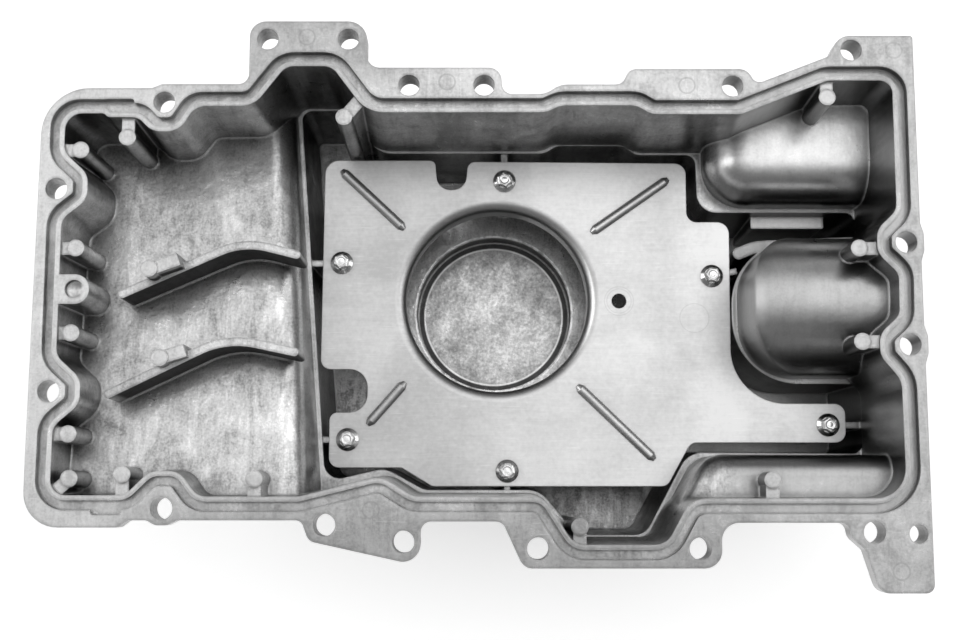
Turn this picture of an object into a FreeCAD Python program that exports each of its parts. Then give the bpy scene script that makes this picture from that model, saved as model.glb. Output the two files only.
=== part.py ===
"""Engine oil pan: a die-cast pan with its windage tray, tray bolts, drain plug and washer.

The pan is seen open side up. X runs along the pan, Y across it, Z upwards. The origin is under
the middle of the pan, at the level of the round foot that it rests on. Depths are measured down
from the machined gasket face. All lengths are in millimetres.
"""
import FreeCAD, Part
import math
import os

doc = FreeCAD.newDocument("engine_oil_pan")

# Driving dimensions
SIZES = {
    "flange_length": 407.5,
    "flange_width": 263,
    "flange_thickness": 8.5,
    "bolt_boss_width": 15,
    "bolt_boss_depth": 15,
    "gusset_thickness": 4,
    "gusset_depth": 24,
    "pan_height": 144,
    "wall": 4.5,
    "draft_angle": 2,
    "bolt_hole": 10,
    "tapped_hole": 8.5,
    "tapped_depth": 18,
    "ridge_width": 2.2,
    "groove_width": 4.5,
    "groove_depth": 5,
    "rim_depth": 65,
    "rim_land": 2,
    "sump_depth": 124,
    "recess_depth": 138,
    "recess_radius": 41.7,
    "corner_round": 7,
    "foot_bevel": 2.5,
    "bay_depth_front": 25,
    "bay_depth_rear": 50,
    "bay_shoulder": 12,
    "rear_shelf_depth": 37,
    "rear_shoulder": 20,
    "front_shelf_depth": 18,
    "front_shoulder": 10,
    "dome_radius": 33.5,
    "dome_crest_depth": 14,
    "dome_land": 2.6,
    "dome_wall_thickness": 6,
    "ledge_width": 6.5,
    "ledge_drop": 9,
    "rib_thickness": 4,
    "post_radius": 3.9,
    "post_top_depth": 1.5,
    "web_top_depth": 3,
    "web_width": 6,
    "tray_depth": 66,
    "tray_thickness": 1.5,
    "tray_opening": 45.8,
    "tray_collar_depth": 14,
    "tray_bend": 4,
    "bead_radius": 2.4,
    "bead_wall": 1.2,
    "bead_sink": 0.4,
    "tray_hole": 7.4,
    "tray_boss_radius": 6.5,
    "tray_rib": 3,
    "tray_bolt_thread": 5,
    "tray_bolt_length": 14,
    "tray_bolt_flange": 11.4,
    "tray_bolt_hex": 7,
    "tray_bolt_head": 5,
    "tray_bolt_collar": 1.9,
    "thread_clearance": 0.2,
    "tray_hole_clearance": 0.8,
    "drain_thread": 14,
    "drain_length": 12,
    "drain_flange": 24,
    "drain_collar": 3,
    "drain_hex": 17,
    "drain_head": 9,
    "drain_washer_width": 22,
    "drain_washer_thickness": 1.6,
    "washer_clearance": 0.3,
    "drain_boss_width": 27,
    "drain_height": 27,
    "drain_boss_reach": 8,
}

sheet = doc.addObject("Spreadsheet::Sheet", "sizes")
for row, (word, number) in enumerate(SIZES.items(), start=1):
    sheet.set(f"A{row}", word)
    sheet.set(f"B{row}", str(number))
    sheet.setAlias(f"B{row}", word)
doc.recompute()


def mm(word):
    """The number in the sheet that carries this name."""
    return float(sheet.get(word))


LEFT = -mm("flange_length") / 2
RIGHT = mm("flange_length") / 2
REAR = mm("flange_width") / 2
FRONT = -mm("flange_width") / 2
TOP = mm("pan_height")
LEAN = math.tan(math.radians(mm("draft_angle")))
MARGIN = 2.0
UP = FreeCAD.Vector(0, 0, 1)
ALONG = FreeCAD.Vector(1, 0, 0)
ACROSS = FreeCAD.Vector(0, 1, 0)
BEYOND = 20


# Outlines: each point is (x, y, corner radius)

def unit(a, b):
    """The direction from point a to point b."""
    length = math.hypot(b[0] - a[0], b[1] - a[1])
    return (b[0] - a[0]) / length, (b[1] - a[1]) / length


def area_of(points):
    """The signed area of an outline, positive when its points run anticlockwise."""
    pairs = zip(points, points[1:] + points[:1])
    return sum(a[0] * b[1] - b[0] * a[1] for a, b in pairs) / 2


def grown(points, distance):
    """The outline moved outwards by distance, with the radius of each corner kept parallel."""
    side = 1 if area_of(points) > 0 else -1
    moved = []
    for i, here in enumerate(points):
        before = unit(points[i - 1], here)
        after = unit(here, points[(i + 1) % len(points)])
        n1 = (side * before[1], -side * before[0])
        n2 = (side * after[1], -side * after[0])
        turn = side * (before[0] * after[1] - before[1] * after[0])
        share = distance / (1 + n1[0] * n2[0] + n1[1] * n2[1])
        radius = max(here[2] + (distance if turn > 0 else -distance), 0.5) if here[2] else 0
        moved.append((here[0] + (n1[0] + n2[0]) * share, here[1] + (n1[1] + n2[1]) * share, radius))
    return moved


def rounded_path(points, closed=True):
    """Straight runs joined by arcs that touch them, as a list of edges' curves."""
    count = len(points)
    corners = []
    for i, here in enumerate(points):
        if not closed and i in (0, count - 1):
            corners.append((FreeCAD.Vector(here[0], here[1], 0),) * 3)
            continue
        previous, following = points[i - 1], points[(i + 1) % count]
        back, ahead = unit(here, previous), unit(here, following)
        cosine = max(-1.0, min(1.0, back[0] * ahead[0] + back[1] * ahead[1]))
        half = math.acos(cosine) / 2
        room = 0.48 * min(math.dist(here[:2], previous[:2]), math.dist(here[:2], following[:2]))
        reach = min(here[2] / math.tan(half), room)
        radius = reach * math.tan(half)
        start = FreeCAD.Vector(here[0] + back[0] * reach, here[1] + back[1] * reach, 0)
        end = FreeCAD.Vector(here[0] + ahead[0] * reach, here[1] + ahead[1] * reach, 0)
        middle = FreeCAD.Vector(back[0] + ahead[0], back[1] + ahead[1], 0).normalize()
        bulge = FreeCAD.Vector(here[0], here[1], 0) + middle * (radius / math.sin(half) - radius)
        corners.append((start, bulge, end))
    curves = []
    last = count if closed else count - 1
    for i in range(last):
        start, bulge, end = corners[i]
        if (end - start).Length > 1e-6:
            curves.append(Part.Arc(start, bulge, end))
        curves.append(Part.LineSegment(end, corners[(i + 1) % count][0]))
    return curves


def ribbon(path, thickness):
    """The outline of a wall of even thickness along an open path of points."""
    half = thickness / 2
    left, right = [], []
    for i, here in enumerate(path):
        before = unit(path[i - 1], here) if i else unit(here, path[1])
        after = unit(here, path[i + 1]) if i < len(path) - 1 else before
        n = (-(before[1] + after[1]), before[0] + after[0])
        share = half * 2 / (n[0] ** 2 + n[1] ** 2)
        turn = before[0] * after[1] - before[1] * after[0]
        sway = half if turn < 0 else -half
        end = i in (0, len(path) - 1)
        left.append((here[0] + n[0] * share, here[1] + n[1] * share, half * 0.9 if end else here[2] + sway))
        right.append((here[0] - n[0] * share, here[1] - n[1] * share, half * 0.9 if end else here[2] - sway))
    return left + right[::-1]


# Document objects

def sketch(name, curves, depth="0"):
    """A sketch in a level plane at a depth below the gasket face."""
    made = doc.addObject("Sketcher::SketchObject", name)
    made.addGeometry(curves, False)
    made.setExpression("Placement.Base.z", f"sizes.pan_height - ({depth})")
    return made


def lofted(name, upper, upper_depth, lower, lower_depth):
    """A solid with straight drafted sides between two outlines of the same form."""
    made = doc.addObject("Part::Loft", name)
    top = sketch(name + "_upper", rounded_path(upper), upper_depth)
    bottom = sketch(name + "_lower", rounded_path(lower), lower_depth)
    made.Sections = [top, bottom]
    made.Solid = True
    made.Ruled = True
    return made


def upright_sketch(name, points, turn, place):
    """A sketch of straight lines in an upright plane, with its second axis up from the gasket face."""
    corners = [FreeCAD.Vector(x, y, 0) for x, y in points]
    made = doc.addObject("Sketcher::SketchObject", name)
    made.addGeometry([Part.LineSegment(a, b) for a, b in zip(corners, corners[1:] + corners[:1])], False)
    made.Placement = FreeCAD.Placement(FreeCAD.Vector(*place, 0), turn)
    made.setExpression("Placement.Base.z", "sizes.pan_height")
    return made


def raised(name, base, height, direction=UP):
    """A solid drawn straight out of a sketch; height is an expression."""
    made = doc.addObject("Part::Extrusion", name)
    made.Base = base
    made.DirMode = "Custom"
    made.Dir = direction
    made.Solid = True
    made.setExpression("LengthFwd", height)
    return made


def fused(name, *shapes):
    made = doc.addObject("Part::MultiFuse", name)
    made.Shapes = list(shapes)
    return made


def shared(name, *shapes):
    made = doc.addObject("Part::MultiCommon", name)
    made.Shapes = list(shapes)
    return made


def cut(name, base, tool):
    made = doc.addObject("Part::Cut", name)
    made.Base = base
    made.Tool = tool
    return made


def eased(name, base, size, choose, kind="Part::Fillet"):
    """Rounds or bevels every edge of base that choose picks."""
    doc.recompute()
    edges = base.Shape.Edges
    made = doc.addObject(kind, name)
    made.Base = base
    made.Edges = [(i, size, size) for i, edge in enumerate(edges, start=1) if choose(edge)]
    return made


def round_bar(name, x, y, radius, depth, length):
    """An upright round bar, its top at a depth below the gasket face; its sizes are expressions."""
    made = doc.addObject("Part::Cylinder", name)
    made.setExpression("Radius", radius)
    made.setExpression("Height", length)
    made.Placement.Base = FreeCAD.Vector(x, y, 0)
    made.setExpression("Placement.Base.z", f"sizes.pan_height - ({depth}) - ({length})")
    return made


def level_edges(z):
    """Picks the edges that lie in the level plane at z."""
    return lambda edge: all(abs(v.Z - z) < 0.01 for v in edge.Vertexes)


# Places of the bolts, each measured from the nearest edges of the flange

RAIL_REAR = REAR - 30.5
RAIL_FRONT = FRONT + 32
RAIL_INNER_REAR = 13.4
RAIL_INNER_FRONT = 10.6

BOLTS = {
    "left_rear": (LEFT + 9.3, 51.8),
    "left_front": (LEFT + 9.3, -41.7),
    "bay_rear": (LEFT + 57.8, REAR - 38.8),
    "bay_front": (LEFT + 61.8, FRONT + 37.4),
    "tab_left": (-98.5, REAR - 8.5),
    "tab_right": (-60.9, REAR - 8.5),
    "rear_left": (-32.5, REAR - 30.7),
    "rear_middle": (2.4, REAR - 30.7),
    "rear_right": (117.9, REAR - 31.1),
    "corner_rear": (RIGHT - 30.3, REAR - 13.8),
    "right_rear": (RIGHT - 8, 26.8),
    "right_front": (RIGHT - 8, -20.4),
    "corner_front": (RIGHT - 27.2, FRONT + 26.8),
    "front_right": (98.8, FRONT + 19.6),
    "front_middle": (26.5, FRONT + 19.6),
    "front_tab_right": (-33.8, FRONT + 22.6),
    "front_tab_left": (-69.1, FRONT + 30.1),
}
LUG_HOLE = (RIGHT - 7.6, FRONT + 26.1)
BAY_BOSS = (LEFT + 19.2, 5.0)


def flange_outline():
    """The outer edge of the flange, clockwise from the left rear corner."""
    edge = RIGHT - 1.5
    tab_left = BOLTS["tab_left"][0] - 8.4
    tab_right = BOLTS["tab_right"][0] + 8.8
    middle = BOLTS["rear_middle"][0] + 7.8
    right = BOLTS["rear_right"][0]
    corner = BOLTS["corner_rear"][0]
    upper, lower = BOLTS["right_rear"][1], BOLTS["right_front"][1]
    nose = BOLTS["front_right"][0] + 9.5
    heel = BOLTS["front_middle"][0] - 6.5
    flap = BOLTS["front_tab_right"][0] + 7.6
    flap_end = BOLTS["front_tab_left"][0] - 6.8
    bay = BOLTS["bay_front"][0]
    return [
        (LEFT + 1.5, RAIL_REAR - 1.6, 22), (LEFT + 52, RAIL_REAR - 1.6, 4), (LEFT + 56.5, RAIL_REAR + 0.3, 4),
        (tab_left, RAIL_REAR + 0.3, 5), (tab_left, REAR, 7.5), (tab_right, REAR, 9),
        (tab_right, REAR - 22.3, 6), (middle, REAR - 22.3, 6), (middle + 0.8, REAR - 35, 5),
        (31, REAR - 35, 12), (37.5, REAR - 30.4, 12), (right - 51.4, REAR - 30.4, 5),
        (right - 48, REAR - 23, 5), (right + 7, REAR - 23, 7), (right + 10.6, REAR - 30.3, 4),
        (corner - 10.5, REAR - 16.8, 3), (corner - 5.5, REAR - 7, 8), (edge, REAR - 7, 1.5),
        (edge, upper + 9, 4), (RIGHT, upper + 4, 4), (RIGHT, upper - 4, 4), (edge, upper - 9, 4),
        (edge, lower + 9, 4), (RIGHT, lower + 4, 4), (RIGHT, lower - 4, 4), (edge, lower - 9, 4),
        (edge, FRONT, 4), (RIGHT - 25.8, FRONT, 6), (RIGHT - 31.7, FRONT + 19, 3),
        (RIGHT - 37.8, FRONT + 24.5, 5), (RIGHT - 39.2, RAIL_FRONT - 1, 4), (nose, RAIL_FRONT - 1, 8),
        (nose, FRONT + 10.9, 8), (heel, FRONT + 10.9, 6), (heel - 9.5, RAIL_FRONT - 0.4, 5),
        (flap, RAIL_FRONT - 0.4, 5), (flap, FRONT + 12, 9), (flap_end, FRONT + 22.9, 5),
        (flap_end - 3.5, RAIL_FRONT + 0.1, 3.5), (bay + 7, RAIL_FRONT + 0.1, 3),
        (bay + 3, RAIL_FRONT - 2.1, 4), (bay - 2.5, RAIL_FRONT - 2.1, 4), (bay - 6.5, RAIL_FRONT + 0.1, 3),
        (bay - 15, RAIL_FRONT + 0.1, 3),
        (bay - 19, RAIL_FRONT - 3.1, 3), (LEFT, RAIL_FRONT - 3.1, 20), (LEFT, RAIL_FRONT + 30, 60),
    ]


def wall_outline():
    """The inner edge of the thin ridge, where the walls drop into the pan, clockwise from the left rear."""
    left = LEFT + 12.2
    right = RIGHT - 11.9
    rear, front = RAIL_REAR - RAIL_INNER_REAR, RAIL_FRONT + RAIL_INNER_FRONT
    bolt = BOLTS
    a, b = bolt["left_rear"][1], bolt["left_front"][1]
    c, d = bolt["bay_front"][0], bolt["bay_rear"][0]
    k, m = bolt["right_rear"][1], bolt["right_front"][1]
    lobe_left = left + 11.4
    lobe_right = right - 9.4
    tab_left, tab_right = bolt["tab_left"][0], bolt["tab_right"][0]
    return [
        (left, rear - 0.2, 8), (d - 27.5, rear - 0.2, 3), (d - 26, rear - 2, 3), (d - 11.8, rear - 2, 7),
        (d - 5.3, rear - 8.8, 10), (d + 7, rear - 8.8, 10), (d + 14.5, rear + 3.3, 9),
        (tab_left - 6, rear + 3.4, 12), (tab_left + 8.6, REAR - 21.5, 8),
        (tab_right - 7.6, REAR - 21.5, 8), (tab_right + 9, REAR - 43.6, 16), (31, REAR - 43.6, 12),
        (38, REAR - 40.3, 12), (73, REAR - 40.3, 10), (80, REAR - 44.5, 10), (121.5, REAR - 44.5, 8),
        (162, REAR - 28.4, 9), (right + 0.2, REAR - 28.4, 6), (right, k + 14.8, 8), (lobe_right, k + 5.8, 9),
        (lobe_right, k - 5.3, 9), (right, k - 14.6, 7), (right - 0.4, m + 13.5, 7),
        (lobe_right - 0.4, m + 4.9, 9), (lobe_right - 0.4, m - 5.4, 9), (right - 0.6, m - 16.3, 12),
        (right - 0.3, front - 0.8, 14), (95, front - 0.8, 12), (83.7, FRONT + 21.3, 9),
        (42.5, FRONT + 21.3, 9), (29.1, front - 0.1, 10), (-29.5, front, 10), (-43.9, front + 9.1, 12),
        (-80.6, front, 12), (c + 16, front, 8), (c + 7.5, front + 11.4, 9), (c - 5.5, front + 11.4, 10),
        (c - 16.5, front + 0.6, 8), (left - 0.6, front + 0.6, 7), (left - 0.3, b - 15.8, 8),
        (lobe_left, b - 5.8, 9), (lobe_left, b + 5.9, 9), (left, b + 16.2, 8),
        (left, a - 14.3, 8), (lobe_left, a - 5.3, 9), (lobe_left, a + 6.7, 9), (left, a + 17.2, 8),
    ]


RIM_LEFT_REAR = (-90.4, REAR - 24.5)
RIM_LEFT_FRONT = (-76, FRONT + 50)
BAY_STEEPNESS = 0.12


SUMP_STEP_X = 110.5
SUMP_STEP_REAR = REAR - 77.5
SUMP_STEP_FRONT = FRONT + 64


def sump_outline():
    """The edge of the deep sump at the level of its rim, clockwise from the left rear."""
    return [
        (*RIM_LEFT_REAR, 5), (-68, REAR - 24.5, 7), (-51, REAR - 46.8, 14), (33, REAR - 46.8, 8),
        (39.5, REAR - 42.9, 8), (73, REAR - 42.9, 8), (80, REAR - 47.6, 8), (109.8, REAR - 47.6, 5),
        (SUMP_STEP_X, SUMP_STEP_REAR, 10), (RIGHT - 14, SUMP_STEP_REAR, 5), (RIGHT - 14, SUMP_STEP_FRONT, 5),
        (103.5, SUMP_STEP_FRONT + 0.6, 12), (81.7, FRONT + 24.3, 9), (48.1, FRONT + 24.3, 9),
        (29.6, FRONT + 46.2, 12), (-27, FRONT + 46.2, 10), (-46.5, FRONT + 56.9, 12), (*RIM_LEFT_FRONT, 8),
    ]


# Blocks that stand inside the pan: the floors of its shallow parts

def bay_block(name, inset):
    """The mass under the sloping floor of the left bay; inset gives the hollow beneath that floor."""
    rim = mm("rim_depth")
    bottom = rim + MARGIN + (mm("pan_height") if inset else 0)
    near, rear = FRONT - BEYOND, REAR + BEYOND
    way = FreeCAD.Vector(RIM_LEFT_REAR[0] - RIM_LEFT_FRONT[0], RIM_LEFT_REAR[1] - RIM_LEFT_FRONT[1], 0)
    way *= (rear - near) / way.y
    shift = way.x * (near - RIM_LEFT_FRONT[1]) / way.y
    foot = RIM_LEFT_FRONT[0] + shift - mm("rim_land") - inset
    far = LEFT - BEYOND
    profile = [
        (far, -bottom), (foot + (bottom - rim) * BAY_STEEPNESS, -bottom),
        (foot - rim * BAY_STEEPNESS, 0), (far, 0),
    ]
    standing = upright_sketch(name + "_profile", profile, FreeCAD.Rotation(ALONG, 90), (0, near))
    body = raised(name + "_body", standing, str(way.Length), way)

    run_front, run_rear = RAIL_FRONT + RAIL_INNER_FRONT, RAIL_REAR - RAIL_INNER_REAR
    fall = (mm("bay_depth_rear") - mm("bay_depth_front")) / (run_rear - run_front)
    drop = inset * math.sqrt(1 + fall * fall)
    start = mm("bay_depth_front") + drop - fall * (run_front - near)
    end = mm("bay_depth_rear") + drop + fall * (rear - run_rear)
    slope = [(near, -start), (rear, -end), (rear, BEYOND), (near, BEYOND)]
    onto_x = FreeCAD.Rotation(FreeCAD.Vector(1, 1, 1), 120)
    above = raised(name + "_above", upright_sketch(name + "_slope", slope, onto_x, (far - BEYOND, 0)),
                   "sizes.flange_length", ALONG)
    sloped = cut(name + "_sloped", body, above)

    def shoulder(edge):
        ends = edge.Vertexes
        if len(ends) < 2 or abs(ends[0].Y - ends[1].Y) < REAR:
            return False
        return min(v.X for v in ends) > far + 2 * BEYOND and min(v.Z for v in ends) > TOP - rim + 1

    return eased(name, sloped, max(mm("bay_shoulder") - inset, 1), shoulder)


def bay_floor(y):
    """The depth of the left bay's floor at y."""
    run_front, run_rear = RAIL_FRONT + RAIL_INNER_FRONT, RAIL_REAR - RAIL_INNER_REAR
    share = (y - run_front) / (run_rear - run_front)
    return mm("bay_depth_front") + share * (mm("bay_depth_rear") - mm("bay_depth_front"))


def shelf_block(name, outline, depth, shoulder, inset):
    """A level shelf beside the sump whose edge rolls over towards the rim."""
    bottom = mm("rim_depth") + MARGIN + (mm("pan_height") if inset else 0)
    body = raised(name + "_body", sketch(name + "_plan", rounded_path(grown(outline, -inset)), str(bottom)),
                  f"{bottom - depth - inset}")
    size = max(shoulder - inset, 1)

    def edge_on_top(edge):
        on_top = all(abs(v.Z - (TOP - depth - inset)) < 0.01 for v in edge.Vertexes)
        middle = edge.CenterOfMass
        return on_top and middle.x < RIGHT and abs(middle.y) < REAR

    return eased(name, body, size, edge_on_top)


def rear_shelf(name, inset):
    gap = mm("rim_land")
    outline = [
        (SUMP_STEP_X + gap, REAR + BEYOND, 0), (SUMP_STEP_X + gap, SUMP_STEP_REAR + gap, 21),
        (RIGHT + BEYOND, SUMP_STEP_REAR + gap, 0), (RIGHT + BEYOND, REAR + BEYOND, 0),
    ]
    return shelf_block(name, outline, mm("rear_shelf_depth"), mm("rear_shoulder"), inset)


def front_shelf(name, inset):
    gap = mm("rim_land")
    outline = [
        (RIGHT + BEYOND, FRONT - BEYOND, 0), (RIGHT + BEYOND, SUMP_STEP_FRONT - gap, 0),
        (103.5 + 1.2 * gap, SUMP_STEP_FRONT + 0.6 - gap, 14), (57.8 + 1.2 * gap, FRONT - BEYOND, 0),
    ]
    return shelf_block(name, outline, mm("front_shelf_depth"), mm("front_shoulder"), inset)


DOME_AXIS_Y = 3.3
DOME_NOSE = 129.3


def dome(name, inset, floor):
    """The half round tunnel over the shaft, with its rounded blind end towards the sump."""
    radius = mm("dome_radius") - inset
    nose = DOME_NOSE + inset
    reach = RIGHT + BEYOND
    plan = [
        (nose, DOME_AXIS_Y - radius, radius * 0.78), (reach, DOME_AXIS_Y - radius, 0),
        (reach, DOME_AXIS_Y + radius, 0), (nose, DOME_AXIS_Y + radius, radius * 0.78),
    ]
    standing = sketch(name + "_plan", rounded_path(plan), floor)
    upright = raised(name + "_upright", standing, f"{floor} - {MARGIN}")
    size = f"sizes.dome_radius - {inset}"
    bar = doc.addObject("Part::Cylinder", name + "_bar")
    bar.setExpression("Radius", size)
    bar.Height = reach - nose + MARGIN
    bar.Placement = FreeCAD.Placement(
        FreeCAD.Vector(nose - MARGIN / 2, DOME_AXIS_Y, 0), FreeCAD.Rotation(ACROSS, 90)
    )
    axis_depth = "sizes.dome_crest_depth + sizes.dome_radius"
    bar.setExpression("Placement.Base.z", f"sizes.pan_height - ({axis_depth})")
    box = doc.addObject("Part::Box", name + "_skirt")
    box.Length = reach - nose + MARGIN
    box.setExpression("Width", f"2 * ({size})")
    box.setExpression("Height", f"{floor} - ({axis_depth})")
    box.Placement.Base = FreeCAD.Vector(nose - MARGIN / 2, DOME_AXIS_Y - radius, 0)
    box.setExpression("Placement.Base.z", f"sizes.pan_height - ({floor})")
    return shared(name, upright, fused(name + "_tunnel", bar, box))


def outer_shell():
    """The outside of the pan below its flange: upper walls, sump, round foot and drain boss."""
    walls = wall_outline()
    sump = sump_outline()
    thick = mm("wall")
    rim = mm("rim_depth")
    deep = mm("sump_depth")
    upper_edge = grown(walls, thick - rim / 2 * LEAN)
    upper_sketch = sketch("upper_shell_edge", rounded_path(upper_edge), "sizes.rim_depth + sizes.wall")
    upper = raised("upper_shell", upper_sketch, "sizes.rim_depth + sizes.wall - sizes.flange_thickness / 2")
    unders = bay_block("bay_under", thick), rear_shelf("rear_under", thick), front_shelf("front_under", thick)
    for number, block in enumerate(unders):
        upper = cut(f"upper_trimmed_{number}", upper, block)
    sump_edge = grown(sump, thick - (deep - rim) / 2 * LEAN)
    sump_sketch = sketch("sump_block_edge", rounded_path(sump_edge), "sizes.sump_depth + sizes.wall")
    outer_sump = raised("sump_block", sump_sketch, "sizes.sump_depth - sizes.rim_depth + 2 * sizes.wall")
    outer_sump = eased("sump_shell", outer_sump, mm("corner_round"), level_edges(TOP - deep - thick))
    foot = round_bar("foot_block", *RECESS, "sizes.recess_radius + sizes.wall", "sizes.sump_depth",
                     "sizes.pan_height - sizes.sump_depth")
    foot = eased("foot", foot, mm("foot_bevel"), level_edges(0), "Part::Chamfer")
    return fused("outer_shell", upper, outer_sump, foot, drain_boss())


def hollow():
    """Everything that is open inside the pan: its mouth, the sump, and the pick-up well."""
    walls = wall_outline()
    sump = sump_outline()
    rim = mm("rim_depth")
    deep = mm("sump_depth")
    mouth = lofted("mouth_full", grown(walls, MARGIN * LEAN), str(-MARGIN),
                   grown(walls, -rim * LEAN), "sizes.rim_depth")
    blocks = (bay_block("bay_fill", 0), rear_shelf("rear_fill", 0), front_shelf("front_fill", 0))
    for number, block in enumerate(blocks):
        mouth = cut(f"mouth_{number}", mouth, block)
    pit = lofted("pit", grown(sump, MARGIN * LEAN), "sizes.rim_depth - 2",
                 grown(sump, -(deep - rim) * LEAN), "sizes.sump_depth")
    recess = round_bar("recess", *RECESS, "sizes.recess_radius", "sizes.sump_depth - 2",
                       "sizes.recess_depth - sizes.sump_depth + 2")
    standing = fused("dome_standing", dome("dome_outer", 0, "sizes.sump_depth + 2"), dome_lip())
    return cut("hollow", fused("hollow_full", mouth, pit, recess), standing)


def casting():
    """The pan itself: shell, flange, shelves, dome, ribs, posts and bosses, as one casting."""
    flange = raised("flange", sketch("flange_edge", rounded_path(flange_outline()), "sizes.flange_thickness"),
                    "sizes.flange_thickness")
    shell = fused("shell", flange, *flange_stiffeners(), outer_shell())
    opened = cut("opened_shell", shell, hollow())
    whole = fused("whole_casting", opened, *posts(), *ribs(), *tray_bosses(), bay_boss())
    tunnel = dome("dome_inner", mm("wall"), "sizes.pan_height + 5")
    removed = fused("machining", tunnel, *bolt_holes(), gasket_groove(), *tapped_holes(), drain_hole())
    made = cut("pan_casting", whole, removed)
    made.Label = "pan_casting"
    return made


# Stiffening under the flange: each is (x, y) on the flange and the same on the wall
GUSSETS = {
    "left_upper": ((LEFT + 3, 12), (LEFT + 16, 12)), "left_lower": ((LEFT + 3, -8), (LEFT + 16, -8)),
    "tab_left": ((-84, REAR - 3), (-84, REAR - 22)), "rear_1": ((-15, REAR - 27), (-15, REAR - 42)),
    "rear_2": ((92, REAR - 28), (92, REAR - 42)), "right_upper": ((RIGHT - 3, 62), (RIGHT - 14, 62)),
    "right_middle": ((RIGHT - 3, 3), (RIGHT - 14, 3)), "right_lower": ((RIGHT - 3, -58), (RIGHT - 14, -58)),
    "front_1": ((62, FRONT + 14), (62, FRONT + 24)), "front_2": ((-52, FRONT + 20), (-52, FRONT + 50)),
    "corner": ((RIGHT - 14, FRONT + 10), (RIGHT - 20, FRONT + 40)),
}


def flange_stiffeners():
    """A boss under each bolt and thin upright gussets between the flange and the walls."""
    made = []
    start = "sizes.flange_thickness / 2"
    for name, (x, y) in (*BOLTS.items(), ("lug", LUG_HOLE)):
        made.append(round_bar("bolt_boss_" + name, x, y, "sizes.bolt_boss_width / 2", start,
                              f"sizes.bolt_boss_depth - {start}"))
    for name, (outer, inner) in GUSSETS.items():
        outline = ribbon([(*outer, 0), (*inner, 0)], mm("gusset_thickness"))
        corners = [(x, y, 0) for x, y, _ in outline]
        base = sketch(f"gusset_{name}_plan", rounded_path(corners), "sizes.gusset_depth")
        made.append(raised("gusset_" + name, base, f"sizes.gusset_depth - {start}"))
    return made


RECESS = (8.0, 10.5)
TRAY_BOLTS = {
    "rear": (12.9, 70.4), "left": (-69.1, 28.4), "right": (117.1, 21.7),
    "arm": (173.3, -53.2), "left_front": (-65.2, -60.4), "front": (13.9, -76.0),
}
TRAY_BOSS_RIBS = {
    "rear": (12.9, REAR - 46), "left": (-85, 28.4), "right": (130, 24.5),
    "arm": (RIGHT - 13, -53.2), "left_front": (-78.5, -60.4), "front": (13.9, FRONT + 45),
}


def dome_lip():
    """The narrow land round the foot of the dome, level with the sump's rim, and the low wall beside it."""
    radius = mm("dome_radius") + mm("dome_land")
    nose = DOME_NOSE - mm("dome_land")
    plan = [
        (nose, DOME_AXIS_Y - radius, radius * 0.9), (RIGHT, DOME_AXIS_Y - radius, 0),
        (RIGHT, DOME_AXIS_Y + radius, 0), (nose, DOME_AXIS_Y + radius, radius * 0.9),
    ]
    floor = "sizes.sump_depth + 2"
    height = f"{floor} - sizes.rim_depth"
    lip = raised("dome_lip_ring", sketch("dome_lip_plan", rounded_path(plan), floor), height)
    wall = ribbon([(128.2, 32, 0), (139, 36.5, 25), (RIGHT - 12, 38.5, 0)], mm("dome_wall_thickness"))
    low_wall = raised("dome_wall", sketch("dome_wall_plan", rounded_path(wall), floor), height)
    near, far = SUMP_STEP_REAR - mm("ledge_width"), SUMP_STEP_REAR + 2
    ledge = [(139, near, 1), (176, near, 1), (176, far, 1), (139, far, 1)]
    step = raised("dome_step", sketch("dome_step_plan", rounded_path(ledge), floor),
                  f"{height} - sizes.ledge_drop")
    return fused("dome_lip", lip, low_wall, step)


POSTS = {
    "bay_corner": (-184.3, 70.4, (-194, 70.4)), "bay_rear": (-162.9, 76.4, (-162.9, 88)),
    "bay_left_1": (-184.9, 24.3, (-194, 24.3)), "bay_left_2": (-185.7, -14.9, (-194, -14.9)),
    "bay_left_3": (-185.3, -60.8, (-194, -60.8)), "bay_front_1": (-184.1, -80.8, (-192, -88)),
    "bay_front_2": (-160.4, -79, (-160.4, -91)), "bay_front_3": (-101, -81, (-101, -91)),
    "rib_rear": (-151.1, 14.8, (-138, 19.5)), "rib_front": (-145.1, -26.2, (-134, -22.6)),
}


def post(name, x, y, toward, floor):
    """An ejector post and the web that joins it to the wall beside it."""
    length = f"{floor} - sizes.post_top_depth"
    bar = round_bar(name, x, y, "sizes.post_radius", "sizes.post_top_depth", length)
    outline = [(a, b, 0) for a, b, _ in ribbon([(x, y, 0), (*toward, 0)], mm("web_width"))]
    base = sketch(name + "_web_plan", rounded_path(outline), str(floor))
    return [bar, raised(name + "_web", base, f"{floor} - sizes.web_top_depth")]


def posts():
    made = []
    for name, (x, y, toward) in POSTS.items():
        made += post("post_" + name, x, y, toward, bay_floor(y) + 2.5)
    rear = mm("rear_shelf_depth") + 2
    front = mm("front_shelf_depth") + 2
    axis_depth = mm("dome_crest_depth") + mm("dome_radius")
    made += post("post_shelf_rear", 162, 95.5, (162, 106), rear)
    made += post("post_shelf_front", 132.1, -81.5, (132.1, -91), front)
    for name, y in (("post_dome_rear", 24.3), ("post_dome_front", -18.8)):
        side = math.sqrt(mm("dome_radius") ** 2 - (y - DOME_AXIS_Y) ** 2)
        made += post(name, 174.5, y, (186, y), axis_depth - side + 3)
    deep = mm("sump_depth") + 2
    made += post("post_sump_rear", -62.7, 86.1, (-54, 96.5), deep)
    made += post("post_sump_front", 45.2, -102.3, (45.2, -113), deep)
    return made


RIBS = {
    "bay_rib_rear": ([(-168, 4, 0), (-110.2, 29.8, 35), (-83.5, 23, 0)], 14),
    "bay_rib_front": ([(-171.5, -43, 0), (-116.2, -16.1, 40), (-83, -23.2, 0)], 9),
}


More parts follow.
